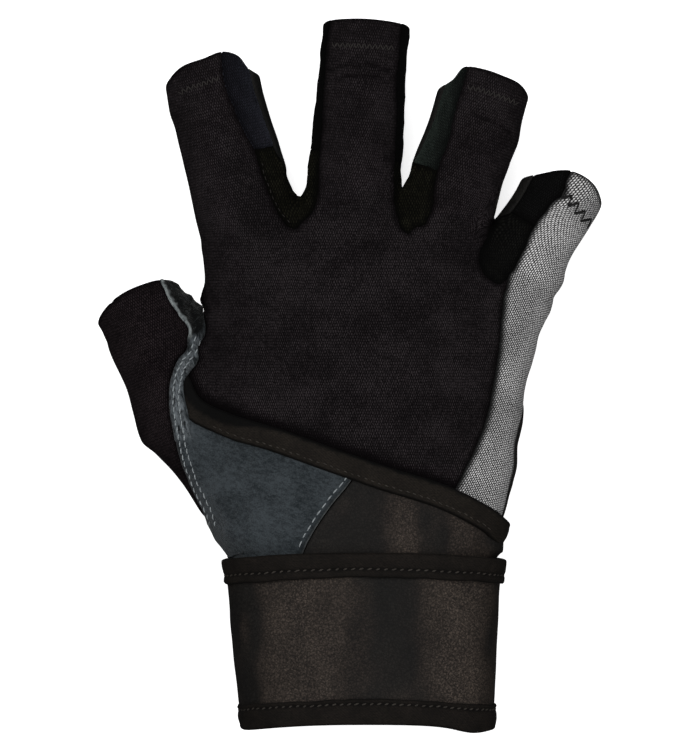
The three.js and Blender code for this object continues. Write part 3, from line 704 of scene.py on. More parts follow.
# Where the palm leather comes up beside a finger: finger, side, and how far, in millimetres
PALM_CLIMBS = [("index", 1, 9.5), ("ring", -1, 8.5), ("little", -1, 8.5)]
HEEL_CLIMB = 12.5


def palm_level(x, y):
    """Height of the seam between the palm and the cloth."""
    level = palm_rise(y)
    for finger, side, climb in PALM_CLIMBS:
        tube = FINGERS[finger]
        across, along = tube.local(x, y)
        middle, half_width, *_ = tube.section(along)
        beside = step_up(side * (across - middle) / half_width, 0.5, 0.86)
        beyond = step_up(side * (across - middle) / half_width, 1.6, 1.2)
        level = level + climb * beside * beyond * step_up(along / tube.length, 0.1, 0.34)
    heel = step_up(x, 33, 41) * step_up(y, -56, -44) * step_up(y, -2, -16)
    return level + HEEL_CLIMB * heel


def palm_field(p):
    return (p[:, 2] - palm_level(p[:, 0], p[:, 1])) * 0.94


def hem_field(p):
    """Above 0 past an open end."""
    slope = math.tan(math.radians(HEM_TILT))
    found = -BODY_HEM - p[:, 1]
    for name, tube in ENDS.items():
        across, along = tube.local(p[:, 0], p[:, 1])
        top = tube.shares[3](1.1) * tube.height
        rows = spline([(a * tube.width, r * tube.length) for a, r in HEMS[name]], FINE_STEP)
        past = HEM_PAST * tube.length
        outline = np.r_[rows, [(rows[-1][0], past), (rows[0][0], past)]]
        level = along - slope * (p[:, 2] - top)
        found = np.maximum(found, -outline_distance(outline, np.stack([across, level], 1)))
    return found


strap_corners = [(FAR, crest_line[-1][1]), (FAR, -FAR), (-FAR, -FAR), (-FAR, crest_line[0][1])]
strap_area = np.r_[crest_line, strap_corners]


def behind_edge(p):
    """How far points lie behind the strap's leading edge, seen from above."""
    return -outline_distance(strap_area, p, STRAP_REACH)


def strap_field(p):
    """Below 0 behind the strap's leading edge: it slopes over the hand and is level under the palm."""
    over = -behind_edge(p)
    level = p[:, 1] - crest_line[-1][1]
    under = (p[:, 2] < STRAP_SPLIT * PALM_HEIGHT) & (p[:, 0] > 0)
    under |= p[:, 2] < SUEDE_FLOOR * PALM_HEIGHT
    return np.where(under, level, over)


skin, skin_tris = skin_mesh()
skin_hem = hem_field(skin)
skin_palm = palm_field(skin)
skin_wander = 0.13 * wave_noise(skin, 4.5, 71) + 0.07 * wave_noise(skin, 2.4, 72)
# Neighbours share one edge, so what one loses the other gains
INNER_SIDE = ("thumb_back", "mesh_panel", "web_index_middle", "web_middle_ring")
skin_regions = {}
for name, outline in REGIONS.items():
    wander = skin_wander if name in INNER_SIDE else -skin_wander
    skin_regions[name] = outline_distance(outline, skin) + wander


def cut_panel(field):
    """The part of the skin where a field of its points is below 0, with rows of points along its rim."""
    near = (field[skin_tris] < 0.4).any(1)
    verts, tris, values = compact(skin, skin_tris[near], field)
    verts, tris, values = split(verts, tris, values, 0.0)
    tris = tris[(values[tris] <= 0).all(1) & (values[tris].min(1) < 0)]
    verts, tris, values = compact(verts, tris, values)
    for level in RIM_ROWS:
        verts, tris, values = split(verts, tris, values, level)
    return biggest(*compact(verts, tris, values))


def thick_panel(name, node, paint, field, outer=0.0, inner=-CLOTH_WALL, roll=(0.9, 0.55), uv=None, masks=None,
                shape=None):
    """A closed sheet over part of the skin, between two distances out from it, with rolled edges."""
    verts, tris, values = cut_panel(field)
    slopes = unit(body_normals(verts))
    depth = -values
    out = outer(verts) if callable(outer) else np.full(len(verts), float(outer))
    lay = inner(verts) if callable(inner) else np.full(len(verts), float(inner))
    folds = skin_folds(verts)
    rise = folds + (shape(verts, depth) if shape else 0)
    top = verts + slopes * (out + rise - roll_off(depth, *roll))[:, None]
    bottom = verts + slopes * (lay + folds + roll_off(depth, 0.5, 0.25))[:, None]
    top[:, 2] = np.maximum(top[:, 2], 0.0)
    bottom[:, 2] = np.maximum(bottom[:, 2], 0.02)
    count = len(verts)
    rim = rim_edges(tris)
    walls = np.concatenate([
        np.stack([rim[:, 1], rim[:, 0], rim[:, 0] + count], 1),
        np.stack([rim[:, 1], rim[:, 0] + count, rim[:, 1] + count], 1),
    ])
    faces = np.concatenate([tris, tris[:, ::-1] + count, walls])
    flat = uv(verts) if uv else verts[:, :2]
    marks = {"edge": np.r_[depth, depth], "inside": np.r_[np.zeros(count), np.ones(count)]}
    for key, value in (masks(verts, depth) if masks else {}).items():
        marks[key] = np.r_[value, value]
    obj = make_object(name, np.r_[top, bottom], faces, paint, np.r_[flat, flat], marks)
    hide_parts(node)


# Cloth coordinates: across and along a tube, with the sides unrolled
def tube_uv(tube):
    def unrolled(p):
        across, along = tube.local(p[:, 0], p[:, 1])
        middle, half_width, level, half_height, _ = tube.section(along)
        drop = level + half_height - p[:, 2]
        side = np.tanh((across - middle) / (0.35 * half_width))
        return np.stack([across + side * np.maximum(drop, 0) * 0.85, along], 1)

    return unrolled


def hand_uv(p):
    """Rows run across the hand and turn with each finger."""
    flat = tube_uv(HAND)(p)
    for name, tube in FINGERS.items():
        across, along = tube.local(p[:, 0], p[:, 1])
        middle, half_width, *_ = tube.section(along)
        own = step_up(along, -4, 8) * step_up(np.abs(across - middle), half_width + 6, half_width + 1)
        local = tube_uv(tube)(p)
        turned = np.stack([local[:, 0] + tube.root[0], local[:, 1] + tube.root[1]], 1)
        flat = flat * (1 - own[:, None]) + turned * own[:, None]
    return flat


# Materials
class Level:
    """A number at each point of a material, for sums and products with others."""

    def __init__(self, paint, socket):
        self.paint, self.socket = paint, socket

    def __add__(self, other):
        return self.paint.math("ADD", self, other)

    def __mul__(self, other):
        return self.paint.math("MULTIPLY", self, other)

    def __truediv__(self, other):
        return self.paint.math("DIVIDE", self, other)

    def __rsub__(self, other):
        return self.paint.math("SUBTRACT", other, self)


class Paint:
    """A material built from nodes. Levels and sockets are linked, other values are set."""

    def __init__(self, name):
        self.material = bpy.data.materials.new(name)
        self.material.use_nodes = True
        self.tree = self.material.node_tree
        self.shader = next(n for n in self.tree.nodes if n.type == "BSDF_PRINCIPLED")

    def put(self, socket, value):
        if isinstance(value, Level):
            value = value.socket
        if isinstance(value, bpy.types.NodeSocket):
            self.tree.links.new(value, socket)
        else:
            socket.default_value = value

    def node(self, kind, inputs, **settings):
        made = self.tree.nodes.new(kind)
        for key, value in settings.items():
            setattr(made, key, value)
        for key, value in inputs.items():
            self.put(made.inputs[key], value)
        return made

    def math(self, operation, *values):
        made = self.node("ShaderNodeMath", dict(enumerate(values)), operation=operation)
        return Level(self, made.outputs[0])

    def cloth(self):
        """The unrolled coordinates in millimetres, as a vector and two levels."""
        uv = self.node("ShaderNodeUVMap", {}, uv_map="cloth").outputs[0]
        vector = self.node("ShaderNodeMapping", {"Vector": uv, "Scale": (UV_UNIT,) * 3}).outputs[0]
        apart = self.node("ShaderNodeSeparateXYZ", {0: vector})
        return vector, Level(self, apart.outputs[0]), Level(self, apart.outputs[1])

    def place(self):
        """Object coordinates in millimetres."""
        made = self.node("ShaderNodeTexCoord", {}).outputs["Object"]
        return self.stretch(made, 1000, 1000, 1000)

    def noise(self, vector, scale, detail, rough=0.55):
        inputs = {"Vector": vector, "Scale": scale, "Detail": detail, "Roughness": rough}
        return Level(self, self.node("ShaderNodeTexNoise", inputs).outputs["Fac"])

    def cloud(self, vector, scale, detail, rough, *span):
        """Noise, spread out between two of its values."""
        return self.span(self.noise(vector, scale, detail, rough), *span)

    def stretch(self, vector, x, y, z=1.0, turn=0.0):
        """Turned, then scaled along each axis."""
        inputs = {"Vector": vector, "Rotation": (0, 0, math.radians(turn))}
        turned = self.node("ShaderNodeMapping", inputs).outputs[0]
        return self.node("ShaderNodeVectorMath", {0: turned, 1: (x, y, z)}, operation="MULTIPLY").outputs[0]

    def wave(self, u, v, pitch, degrees):
        """A cosine across the cloth, of one pitch in one direction."""
        way, rate = math.radians(degrees), 2 * math.pi / pitch
        return self.math("COSINE", u * (rate * math.cos(way)) + v * (rate * math.sin(way)))

    def mask(self, name):
        return Level(self, self.node("ShaderNodeAttribute", {}, attribute_name=name).outputs["Fac"])

    def span(self, value, low, high, to_low=0.0, to_high=1.0):
        inputs = {0: value, 1: low, 2: high, 3: to_low, 4: to_high}
        made = self.node("ShaderNodeMapRange", inputs, clamp=True, interpolation_type="SMOOTHSTEP")
        return Level(self, made.outputs[0])

    def mix(self, share, a, b):
        return self.node("ShaderNodeMix", {0: share, 6: a, 7: b}, data_type="RGBA").outputs[2]

    def bump(self, height, strength, distance):
        inputs = {"Height": height, "Strength": strength, "Distance": distance / 1000}
        return self.node("ShaderNodeBump", inputs).outputs[0]

    def finish(self, **inputs):
        for key, value in inputs.items():
            self.put(self.shader.inputs[key.replace("_", " ")], value)
        return self.material


def tone(red, green, blue):
    """A display colour, 0 to 255, as linear light."""
    line = [c / 255 for c in (red, green, blue)]
    return (*[c / 12.92 if c <= 0.04045 else ((c + 0.055) / 1.055) ** 2.4 for c in line], 1.0)


KNIT_COLUMN, KNIT_ROW = 0.74, 0.87
# The mesh's lattice: weight, pitch and direction of each of its waves
MESH_WAVES = [(1.0, 0.731, -42.5), (0.6, 0.688, -83.5), (0.5, 1.008, 31.6)]
PEBBLE, TWILL = 0.9, 0.9


def knit_paint(name, dark, light, sheen=0.0, sheen_tint=(1, 1, 1, 1)):
    """Fine knit: upright dashes in rows, each row half a stitch along, patchy from wear, with painted shade
    along its seams and wherever its shade mask is set.
    """
    paint = Paint(name)
    vector, u, v = paint.cloth()
    wobble = paint.noise(vector, 0.3, 2.0)
    row = (wobble * 1.1 + v) / KNIT_ROW
    odd = paint.math("MODULO", paint.math("FLOOR", row), 2.0) * 0.5
    column = (wobble * 0.6 + u) / KNIT_COLUMN + odd
    across, along = paint.math("PINGPONG", column, 0.5), paint.math("PINGPONG", row, 0.5)
    dash = paint.span(across, 0.16, 0.42) * paint.span(along, 0.0, 0.26)
    patch = paint.cloud(paint.stretch(vector, 1.0, 0.55), 0.9, 4.0, 0.65, 0.34, 0.66)
    fuzz = paint.cloud(paint.stretch(vector, 1.0, 0.5), 3.0, 3.0, 0.7, 0.25, 0.75)
    clouds = paint.cloud(paint.place(), 0.075, 3.0, 0.6, 0.28, 0.72, 0.62, 1.12)
    shade = (dash * (patch * 0.75 + 0.3) * 0.55 + fuzz * 0.35) * clouds
    # Painted shade: darker within about 2 mm of a seam, and where the shade mask is set (by the strap's edge
    # and in the creases).
    shade = shade * paint.span(paint.mask("edge"), 0.0, 2.2, 0.35, 1.0)
    shade = shade * (paint.mask("shade") * -0.75 + 1.0)
    return paint.finish(
        Base_Color=paint.mix(paint.span(shade, 0.04, 0.72), dark, light),
        Roughness=0.92,
        Specular_IOR_Level=0.06,
        Sheen_Weight=sheen,
        Sheen_Roughness=0.45,
        Sheen_Tint=sheen_tint,
        Normal=paint.bump(dash + fuzz * 0.7, 0.8, 0.2),
    )


def mesh_paint(name, hole, thread, rim):
    """Open mesh: a slanted lattice of light knots between dark holes, and a dark rim."""
    paint = Paint(name)
    vector, u, v = paint.cloth()
    u = paint.noise(vector, 0.12, 2.0) * 1.2 + u
    lattice = paint.cloud(paint.stretch(vector, 0.6, 1.0, turn=30), 1.6, 3.0, 0.65, 0.25, 0.75) * 1.1
    for weight, pitch, degrees in MESH_WAVES:
        lattice = lattice + paint.wave(u, v, pitch, degrees) * weight
    dot = paint.span(lattice, -0.25, 1.9)
    clouds = paint.cloud(paint.place(), 0.06, 3.0, 0.55, 0.3, 0.7, 0.66, 1.1)
    edge = paint.span(paint.mask("edge"), 0.3, 2.4)
    return paint.finish(
        Base_Color=paint.mix(edge, rim, paint.mix(dot * clouds, hole, thread)),
        Roughness=0.8,
        Specular_IOR_Level=0.15,
        Normal=paint.bump(dot, 0.7, 0.25),
    )


def suede_paint(name):
    """Brushed suede with soft clouds and fibres, streaky on the strip by the thumb and raw at its curl, with
    painted shade along its edges and painted highlight and shade on the curl's crumpled lumps.
    """
    paint = Paint(name)
    here = paint.place()
    clouds = paint.cloud(here, 0.1, 4.0, 0.6, 0.3, 0.7)
    nap = paint.cloud(paint.stretch(here, 0.55, 1.3, turn=20), 0.8, 5.0, 0.7, 0.3, 0.7)
    grain = paint.cloud(here, 2.2, 3.0, 0.7, 0.25, 0.75)
    streak = paint.noise(paint.stretch(here, 1.5, 0.42, turn=-12), 0.75, 5.0, 0.75)
    lumps = paint.cloud(paint.stretch(here, 1.5, 0.5, turn=40), 0.8, 6.0, 0.8, 0.54, 0.76)
    shade = paint.span(clouds * 0.28 + nap * 0.32 + grain * 0.4, 0.15, 0.85)
    # Painted shade: darker within 1.6 mm of the panel's edges.
    rim = paint.span(paint.mask("edge"), 0.0, 1.6, 0.75, 0.0)
    colour = paint.mix(rim, paint.mix(shade, tone(32, 37, 40), tone(65, 71, 75)), tone(16, 18, 20))
    # The curl: dark, with painted highlight and shade on its crumpled lumps. The strip's streaks and the raw
    # cut edge are the suede's own colour.
    for mask, share, low, high in (
        ("strip", paint.span(streak, 0.36, 0.62), tone(20, 23, 25), tone(104, 110, 114)),
        ("curl", lumps, tone(5, 6, 6), tone(78, 82, 82)),
        ("raw", paint.span(streak, 0.3, 0.6), tone(62, 68, 70), tone(136, 142, 142)),
    ):
        colour = paint.mix(paint.mask(mask), colour, paint.mix(share, low, high))
    return paint.finish(
        Base_Color=colour,
        Roughness=0.95,
        Specular_IOR_Level=0.1,
        Sheen_Weight=0.12,
        Sheen_Roughness=0.4,
        Normal=paint.bump(nap + grain * 0.7, 0.7, 0.35),
    )


def leather_paint(name, dark, light, rough, gloss, shade_tone=None):
    """Leather with a fine crackle and soft wear. A wear and highlight mask makes it lighter and flecked where
    it is rubbed and where highlight bands are painted; given a shade tone, it is cooler and darker where that
    mask is low, as painted shade.
    """
    paint = Paint(name)
    here = paint.place()
    jitter = paint.node("ShaderNodeTexNoise", {"Vector": here, "Scale": 0.9, "Detail": 3.0}).outputs["Color"]
    inputs = {0: jitter, 1: (1.8, 1.8, 1.8), 2: here}
    warped = paint.node("ShaderNodeVectorMath", inputs, operation="MULTIPLY_ADD").outputs[0]
    inputs = {"Vector": warped, "Scale": 1 / PEBBLE, "Randomness": 1.0}
    cells = paint.node("ShaderNodeTexVoronoi", inputs, feature="DISTANCE_TO_EDGE")
    pores = paint.span(cells.outputs["Distance"], 0.0, 0.2)
    wear = paint.cloud(paint.stretch(here, 1.0, 0.5), 0.09, 4.0, 0.6, 0.3, 0.7)
    fine = paint.cloud(here, 1.6, 4.0, 0.7, 0.28, 0.72)
    flecks = paint.cloud(here, 1.7, 2.0, 0.55, 0.46, 0.6)
    # Wear and painted highlight bands, from the mask.
    wear_and_highlight_mask = paint.mask("worn")
    colour = paint.mix(wear * 0.2 + fine * 0.2 + wear_and_highlight_mask * (flecks * 0.5 + 0.14), dark, light)
    # Painted shade: a cooler, darker tone where the wear and highlight mask is low.
    if shade_tone:
        colour = paint.mix(paint.span(wear_and_highlight_mask, 0.45, 0.0, 0.0, 0.7), colour, paint.mix(fine, dark, shade_tone))
    return paint.finish(
        Base_Color=paint.mix((1.0 - pores) * 0.62, colour, tone(6, 6, 6)),
        Roughness=fine * 0.2 + rough,
        Specular_IOR_Level=gloss,
        Normal=paint.bump(pores + fine * 0.6, 0.4, 0.2),
    )


def tape_paint(name, dark, light):
    """Soft matt tape with a fine twill, with painted shade towards black where its shade mask is set: in its
    folds and its sunk stitch row.
    """
    paint = Paint(name)
    vector, u, v = paint.cloth()
    rib = paint.math("PINGPONG", (u + v) / TWILL, 0.5)
    fuzz = paint.cloud(paint.stretch(vector, 0.6, 1.3), 1.8, 4.0, 0.7, 0.28, 0.72)
    clouds = paint.cloud(paint.place(), 0.14, 4.0, 0.65, 0.3, 0.7, 0.5, 1.15)
    cloth = paint.mix((rib * 0.5 + fuzz * 0.6) * clouds, dark, light)
    return paint.finish(
        Base_Color=paint.mix(paint.mask("shade"), cloth, (0, 0, 0, 1)),
        Roughness=0.82,
        Specular_IOR_Level=0.12,
        Normal=paint.bump(rib + fuzz, 0.5, 0.15),
    )


def thread_paint(name, dark, light):
    """Twisted thread."""
    paint = Paint(name)
    twist = paint.noise(paint.place(), 4.0, 2.0)
    return paint.finish(
        Base_Color=paint.mix(paint.span(twist, 0.3, 0.7), dark, light),
        Roughness=0.7,
        Specular_IOR_Level=0.25,
        Normal=paint.bump(twist, 0.5, 0.15),
    )


KNIT = knit_paint("hand_knit", tone(6, 4, 5), tone(54, 49, 51))
THUMB_KNIT = knit_paint("thumb_knit", tone(4, 2, 3), tone(49, 42, 44))
MESH = mesh_paint("open_mesh", tone(9, 9, 9), tone(236, 235, 235), tone(14, 14, 14))
WEB_KNIT = knit_paint("web_knit", tone(2, 2, 1), tone(34, 33, 24))
RING_WEB = knit_paint("ring_web_knit", tone(2, 2, 2), tone(21, 21, 19))
NAVY_STRIP = knit_paint("navy_strip_knit", tone(3, 3, 5), tone(31, 30, 36), 0.1, (0.7, 0.75, 1, 1))
GREEN_STRIP = knit_paint("green_strip_knit", tone(3, 4, 4), tone(27, 30, 28), 0.08, (0.75, 1, 0.85, 1))
BLACK_STRIP = knit_paint("black_strip_knit", tone(2, 2, 2), tone(17, 17, 17))
SUEDE = suede_paint("suede")
PALM = leather_paint("palm_leather", tone(5, 5, 5), tone(58, 56, 53), 0.6, 0.1)
STRAP_LEATHER = leather_paint("strap_leather", tone(12, 9, 9), tone(78, 69, 62), 0.56, 0.12, tone(27, 29, 28))
BINDING = tape_paint("binding_tape", tone(9, 7, 5), tone(40, 35, 30))
TAPE_CLOTH = tape_paint("cuff_tape", tone(5, 4, 3), tone(34, 29, 25))
HOOK = tape_paint("hook_tape", tone(8, 8, 8), tone(24, 24, 24))
BLACK_THREAD = thread_paint("black_thread", tone(4, 4, 4), tone(18, 18, 18))
TONAL_THREAD = thread_paint("tonal_thread", tone(30, 27, 24), tone(66, 61, 55))
HEM_THREAD = thread_paint("hem_thread", tone(24, 22, 20), tone(52, 48, 46))
LIGHT_THREAD = thread_paint("light_thread", tone(96, 102, 106), tone(168, 174, 176))


# Body panels
above_palm = SEAM - skin_palm
cloth_field = np.maximum(skin_hem, above_palm)


def region_field(name):
    return np.maximum(cloth_field, skin_regions[name] + SEAM)


back_field = cloth_field
for name in REGIONS:
    back_field = np.maximum(back_field, SEAM - skin_regions[name])


def back_shade(p, depth):
    """Shade in the corner where the cloth meets the strap's leading edge, and in the fingers' creases."""
    shade = step_up(outline_distance(strap_area, p), 4.0, 0.4)
    for points in CREASES:
        shade = np.maximum(shade, -fold_line(p, points, 0.55, 0.75))
    return {"shade": shade}


def palm_wear(p, depth):
    """Rubbed where it rests, dark up the sides."""
    return {"worn": step_up(p[:, 2], 9, 1) * (0.75 + 0.3 * wave_noise(p, 20, 81))}


thick_panel("back_panel_cloth", "back_panel", KNIT, back_field, uv=hand_uv, masks=back_shade)
thick_panel("palm_panel_leather", "palm_panel", PALM, np.maximum(skin_hem, skin_palm), outer=0.35,
            masks=palm_wear)
thick_panel("thumb_back_cloth", "thumb_back", THUMB_KNIT, region_field("thumb_back"), uv=tube_uv(THUMB))
thick_panel("mesh_panel_cloth", "mesh_panel", MESH, region_field("mesh_panel"), uv=tube_uv(HAND))


def crumple(p, depth):
    """Slack of the pieces between the fingers."""
    return (0.3 * wave_noise(p, 7, 91) + 0.12 * wave_noise(p, 3.5, 92)) * step_up(depth, 0.3, 2.5)


for name, paint, tube in (
    ("web_index_middle", WEB_KNIT, HAND),
    ("web_middle_ring", WEB_KNIT, HAND),
    ("web_ring_little", RING_WEB, HAND),
    ("strip_index_right", NAVY_STRIP, FINGERS["index"]),
    ("strip_middle_left", BLACK_STRIP, FINGERS["middle"]),
    ("strip_middle_right", BLACK_STRIP, FINGERS["middle"]),
    ("strip_ring_left", GREEN_STRIP, FINGERS["ring"]),
    ("strip_little_left", BLACK_STRIP, FINGERS["little"]),
):
    thick_panel(f"{name}_cloth", name, paint, region_field(name), uv=tube_uv(tube), roll=(0.6, 0.3),
                shape=crumple)

# The suede: a strip by the thumb in the cloth's layer, and a patch over the wrist in the strap's
skin_strap = strap_field(skin)
skin_suede_side = outline_distance(left_of(suede_line), skin)
thumb_side = np.r_[thumb_line, [(-PALM_WIDTH / 2, -CUFF_FRONT)]]
skin_thumb_side = outline_distance(left_of(thumb_side), skin)
BINDING_INSET = GAP + TAPE
patch_field = np.maximum.reduce([
    skin_strap + BINDING_INSET,
    skin_suede_side + GAP / 2,
    GAP / 2 - skin_thumb_side,
    SUEDE_FLOOR * PALM_HEIGHT - skin[:, 2],
    -(CUFF_FRONT + SADDLE_TUCK) - skin[:, 1],
])


def off_hand(p):
    """0 on the hand's side of the crook of the thumb, where the curl doesn't reach."""
    return 1 - step_up(p[:, 1], 19, 21) * step_up(p[:, 0], -47.5, -46)


curl_over = 0.9 * step_up(skin[:, 1], 8, 11) * step_up(skin[:, 0], -45.5, -46.5)
strip_field = np.maximum(cloth_field, skin_regions["suede_saddle"] + SEAM - curl_over)


# Wear and painted highlight bands on the cuff and the first lap, low where painted shade lies between them:
# place across the wrist, share
CUFF_WEAR_AND_HIGHLIGHT = [(-42, 0.0), (-29, 0.1), (-23, 0.65), (-14, 0.85), (-4, 0.6), (3, 0.3), (9, 0.05), (19, 0.1),
        (26, 0.8), (31, 1.1), (36, 0.95), (42, 0.3), (47, 0.1)]
LAP_WEAR_AND_HIGHLIGHT = [(-14, 0.0), (5, 0.05), (12, 0.3), (15, 0.85), (18, 0.75), (21.5, 0.2), (28, 0.2), (31, 0.7),
            (36, 0.6), (41, 0.1)]
cuff_wear_and_highlight = smooth(*np.array(CUFF_WEAR_AND_HIGHLIGHT).T)
lap_wear_and_highlight = smooth(*np.array(LAP_WEAR_AND_HIGHLIGHT).T)


def bulge(p):
    """Slack leather pushed out just in front of the cuff, at both sides of the wrist."""
    left, right = step_up(p[:, 0], -26, -36), step_up(p[:, 0], 38, 44)
    pushed = 3.0 * left * bell(p[:, 1], -52.7, 2.6)
    pushed += 3.4 * right * bell(p[:, 1], -52.0, 3.3)
    pushed -= 1.0 * left * bell(p[:, 1], -40.5, 4.2)
    return pushed * step_up(p[:, 2], 8, 20)


def saddle_outer(p):
    return step_up(behind_edge(p), -4.5, 1.3) * LAP_OUT + bulge(p)


def saddle_inner(p):
    in_strip = step_up(-outline_distance(strip_area, p), 0.0, 0.8)
    return LAP_IN - (LAP_IN + CLOTH_WALL) * in_strip


def saddle_masks(p, depth):
    strip = step_up(-outline_distance(strip_area, p), -1.0, 1.5)
    # The curl, where painted highlight and shade on its crumpled lumps go.
    curl = step_up(p[:, 1] + 0.8 * wave_noise(p, 3, 82), 10.5, 12.5) * step_up(p[:, 0], -42.6, -43.6)
    cut = outline_distance(left_of(thumb_line), p)
    ragged = -0.2 + 0.3 * wave_noise(p, 2.2, 83)
    right = outline_distance(left_of(suede_line), p)
    return {
        "strip": strip * step_up(p[:, 1], -34, -14),
        "curl": curl,
        "raw": np.maximum(step_up(cut, ragged + 0.25, ragged - 0.25) * step_up(p[:, 1], 10, 12.5),
                          0.5 * step_up(right, -0.55, -0.3)),
    }


def saddle_shape(p, depth):
    """Lumps along the curl and slack folds in the patch."""
    curl = step_up(p[:, 1], 9, 14) * off_hand(p)
    slack = 0.16 * wave_noise(p, 9, 84) + 0.08 * wave_noise(p, 4, 85)
    return curl * (0.45 * wave_noise(p, 3.4, 86) + 0.75) + (1 - curl) * slack


thick_panel(
    "suede_saddle_suede", "suede_saddle", SUEDE, np.minimum(patch_field, strip_field),
    outer=saddle_outer, inner=saddle_inner, masks=saddle_masks, roll=(0.7, 0.35),
    shape=saddle_shape,
)


# Bands round the wrist
def wrist_point(degrees, y, out):
    """A point over the wrist: degrees round it, along the hand, and out from the cloth."""
    middle, half_width, level, half_height, square = HAND.section(y)
    c, s = np.cos(np.radians(degrees)), np.sin(np.radians(degrees))
    x = middle + (half_width + out) * np.sign(c) * np.abs(c) ** (2 / square)
    z = level + (half_height + out) * np.sign(s) * np.abs(s) ** (2 / square)
    return np.stack([x, y, z], -1)


def even_degrees(start, end, pitch):
    """Angles from start down to end in even steps of length round the wrist."""
    fine = np.linspace(start, end, 4000)
    line = wrist_point(fine, np.full(4000, -CUFF_FRONT - CUFF_LENGTH / 2), CUFF_IN)
    run = np.r_[0, np.cumsum(np.linalg.norm(np.diff(line, axis=0), axis=1))]
    count = int(run[-1] / pitch) + 1
    return np.interp(np.linspace(0, run[-1], count), run, fine), np.linspace(0, run[-1], count)


def band(name, node, paint, start, end, pitch, ring):
    """A closed band round the wrist. ring(degrees, run) gives its section as rows of out and along."""
    degrees, run = even_degrees(start, end, pitch)
    turned = CUFF_START - degrees
    climb = step_up(turned, 0, CUFF_CLIMB) - 1
    bow = CUFF_BOW * np.sin(np.radians(degrees)) ** 2
    sections, flats, shades = [], [], []
    for i, angle in enumerate(degrees):
        outs, alongs, flat, shade = ring(angle, run[i])
        shades.append(shade)
        y = alongs + bow[i]
        sections.append(wrist_point(np.full(len(y), angle), y, outs + climb[i] * (CUFF_IN - LAP_IN)))
        flats.append(np.stack([np.full(len(y), run[i]), flat], 1))
    count, rows = len(sections[0]), len(sections)
    verts = np.concatenate(sections)
    verts[:, 2] = np.maximum(verts[:, 2], 0.0)
    faces = []
    for i in range(rows - 1):
        for j in range(count):
            a, b = i * count + j, i * count + (j + 1) % count
            faces.append((a, b, b + count, a + count))
    faces.append(tuple(range(count))[::-1])
    faces.append(tuple(range((rows - 1) * count, rows * count)))
    uv = np.concatenate(flats)
    # Wear and painted highlight bands across the cuff, from the table.
    worn = np.clip(cuff_wear_and_highlight(verts[:, 0]) + 0.2 * wave_noise(verts, 12, 88), 0, 1.2)
    marks = {"edge": np.full(len(verts), 5.0), "worn": worn, "shade": np.concatenate(shades)}
    obj = make_object(name, verts, faces, paint, uv, marks)
    made = bmesh.new()
    made.from_mesh(obj.data)
    bmesh.ops.triangulate(made, faces=[f for f in made.faces if len(f.verts) > 4])
    bmesh.ops.recalc_face_normals(made, faces=made.faces)
    made.to_mesh(obj.data)
    made.free()
    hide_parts(node)


CUFF_POINTS, CUFF_INNER_POINTS, HOOK_POINTS, HOOK_INNER_POINTS = 34, 8, 20, 6


def cuff_ring(angle, run):
    """The cuff's leather: a thin rounded section with soft dents on its outer face."""
    along = np.linspace(-CUFF_FRONT, CUFF_REAR, CUFF_POINTS)
    outer_at = np.c_[np.full(CUFF_POINTS, run), along, np.zeros(CUFF_POINTS)]
    dents = 0.3 * wave_noise(outer_at * (1, 0.4, 1), 22, 11) + 0.14 * wave_noise(outer_at, 9, 12)
    fade = step_up(np.abs(along - (along[0] + along[-1]) / 2), 24, 18)
    outer = CUFF_OUT + dents * fade
    outs = np.r_[outer, np.full(CUFF_INNER_POINTS, CUFF_IN)]
    alongs = np.r_[along, np.linspace(CUFF_REAR, -CUFF_FRONT, CUFF_INNER_POINTS)]
    return outs, alongs, alongs, np.zeros(len(outs))


cuff_end = CUFF_START - CUFF_TURN
band("wrist_strap_cuff", "wrist_strap", STRAP_LEATHER, CUFF_START, cuff_end, 1.6, cuff_ring)


TAPE_GAP, TAPE_THICK = 0.08, 0.75
REAR_SAG = 1.2  # how far the rear tape hangs past the cuff on its right


def tape_outer(t, run, seed, stitch_at):
    """How far out a tape's outer leg lies, from its foot at 0 to its crest at 1."""
    down = np.c_[np.full(len(t), run), t * TAPE_WIDTH, np.zeros(len(t))]
    puff = 0.14 * wave_noise(down, 4.5, seed + 2) + 0.3 * np.abs(np.sin(math.pi * (t - stitch_at) / 0.9))
    groove = -0.32 * bell(t, stitch_at, 0.055)
    lip = -0.45 * np.clip(1 - t / 0.1, 0, 1) ** 2
    return CUFF_OUT + TAPE_GAP + TAPE_THICK + puff + groove + lip


def tape_leg(run, edge_at, sign, seed):
    """Where a tape's foot and crest lie along the wrist."""
    here = np.array([[run, 0.0, 0.0]])
    sway = 0.3 * wave_noise(here, 30, seed)[0] + 0.15 * wave_noise(here, 8, seed + 1)[0]
    edge = edge_at + sign * TAPE_GAP
    return edge + sign * (TAPE - TAPE_WIDTH) + sign * sway, edge + sign * TAPE * 0.4


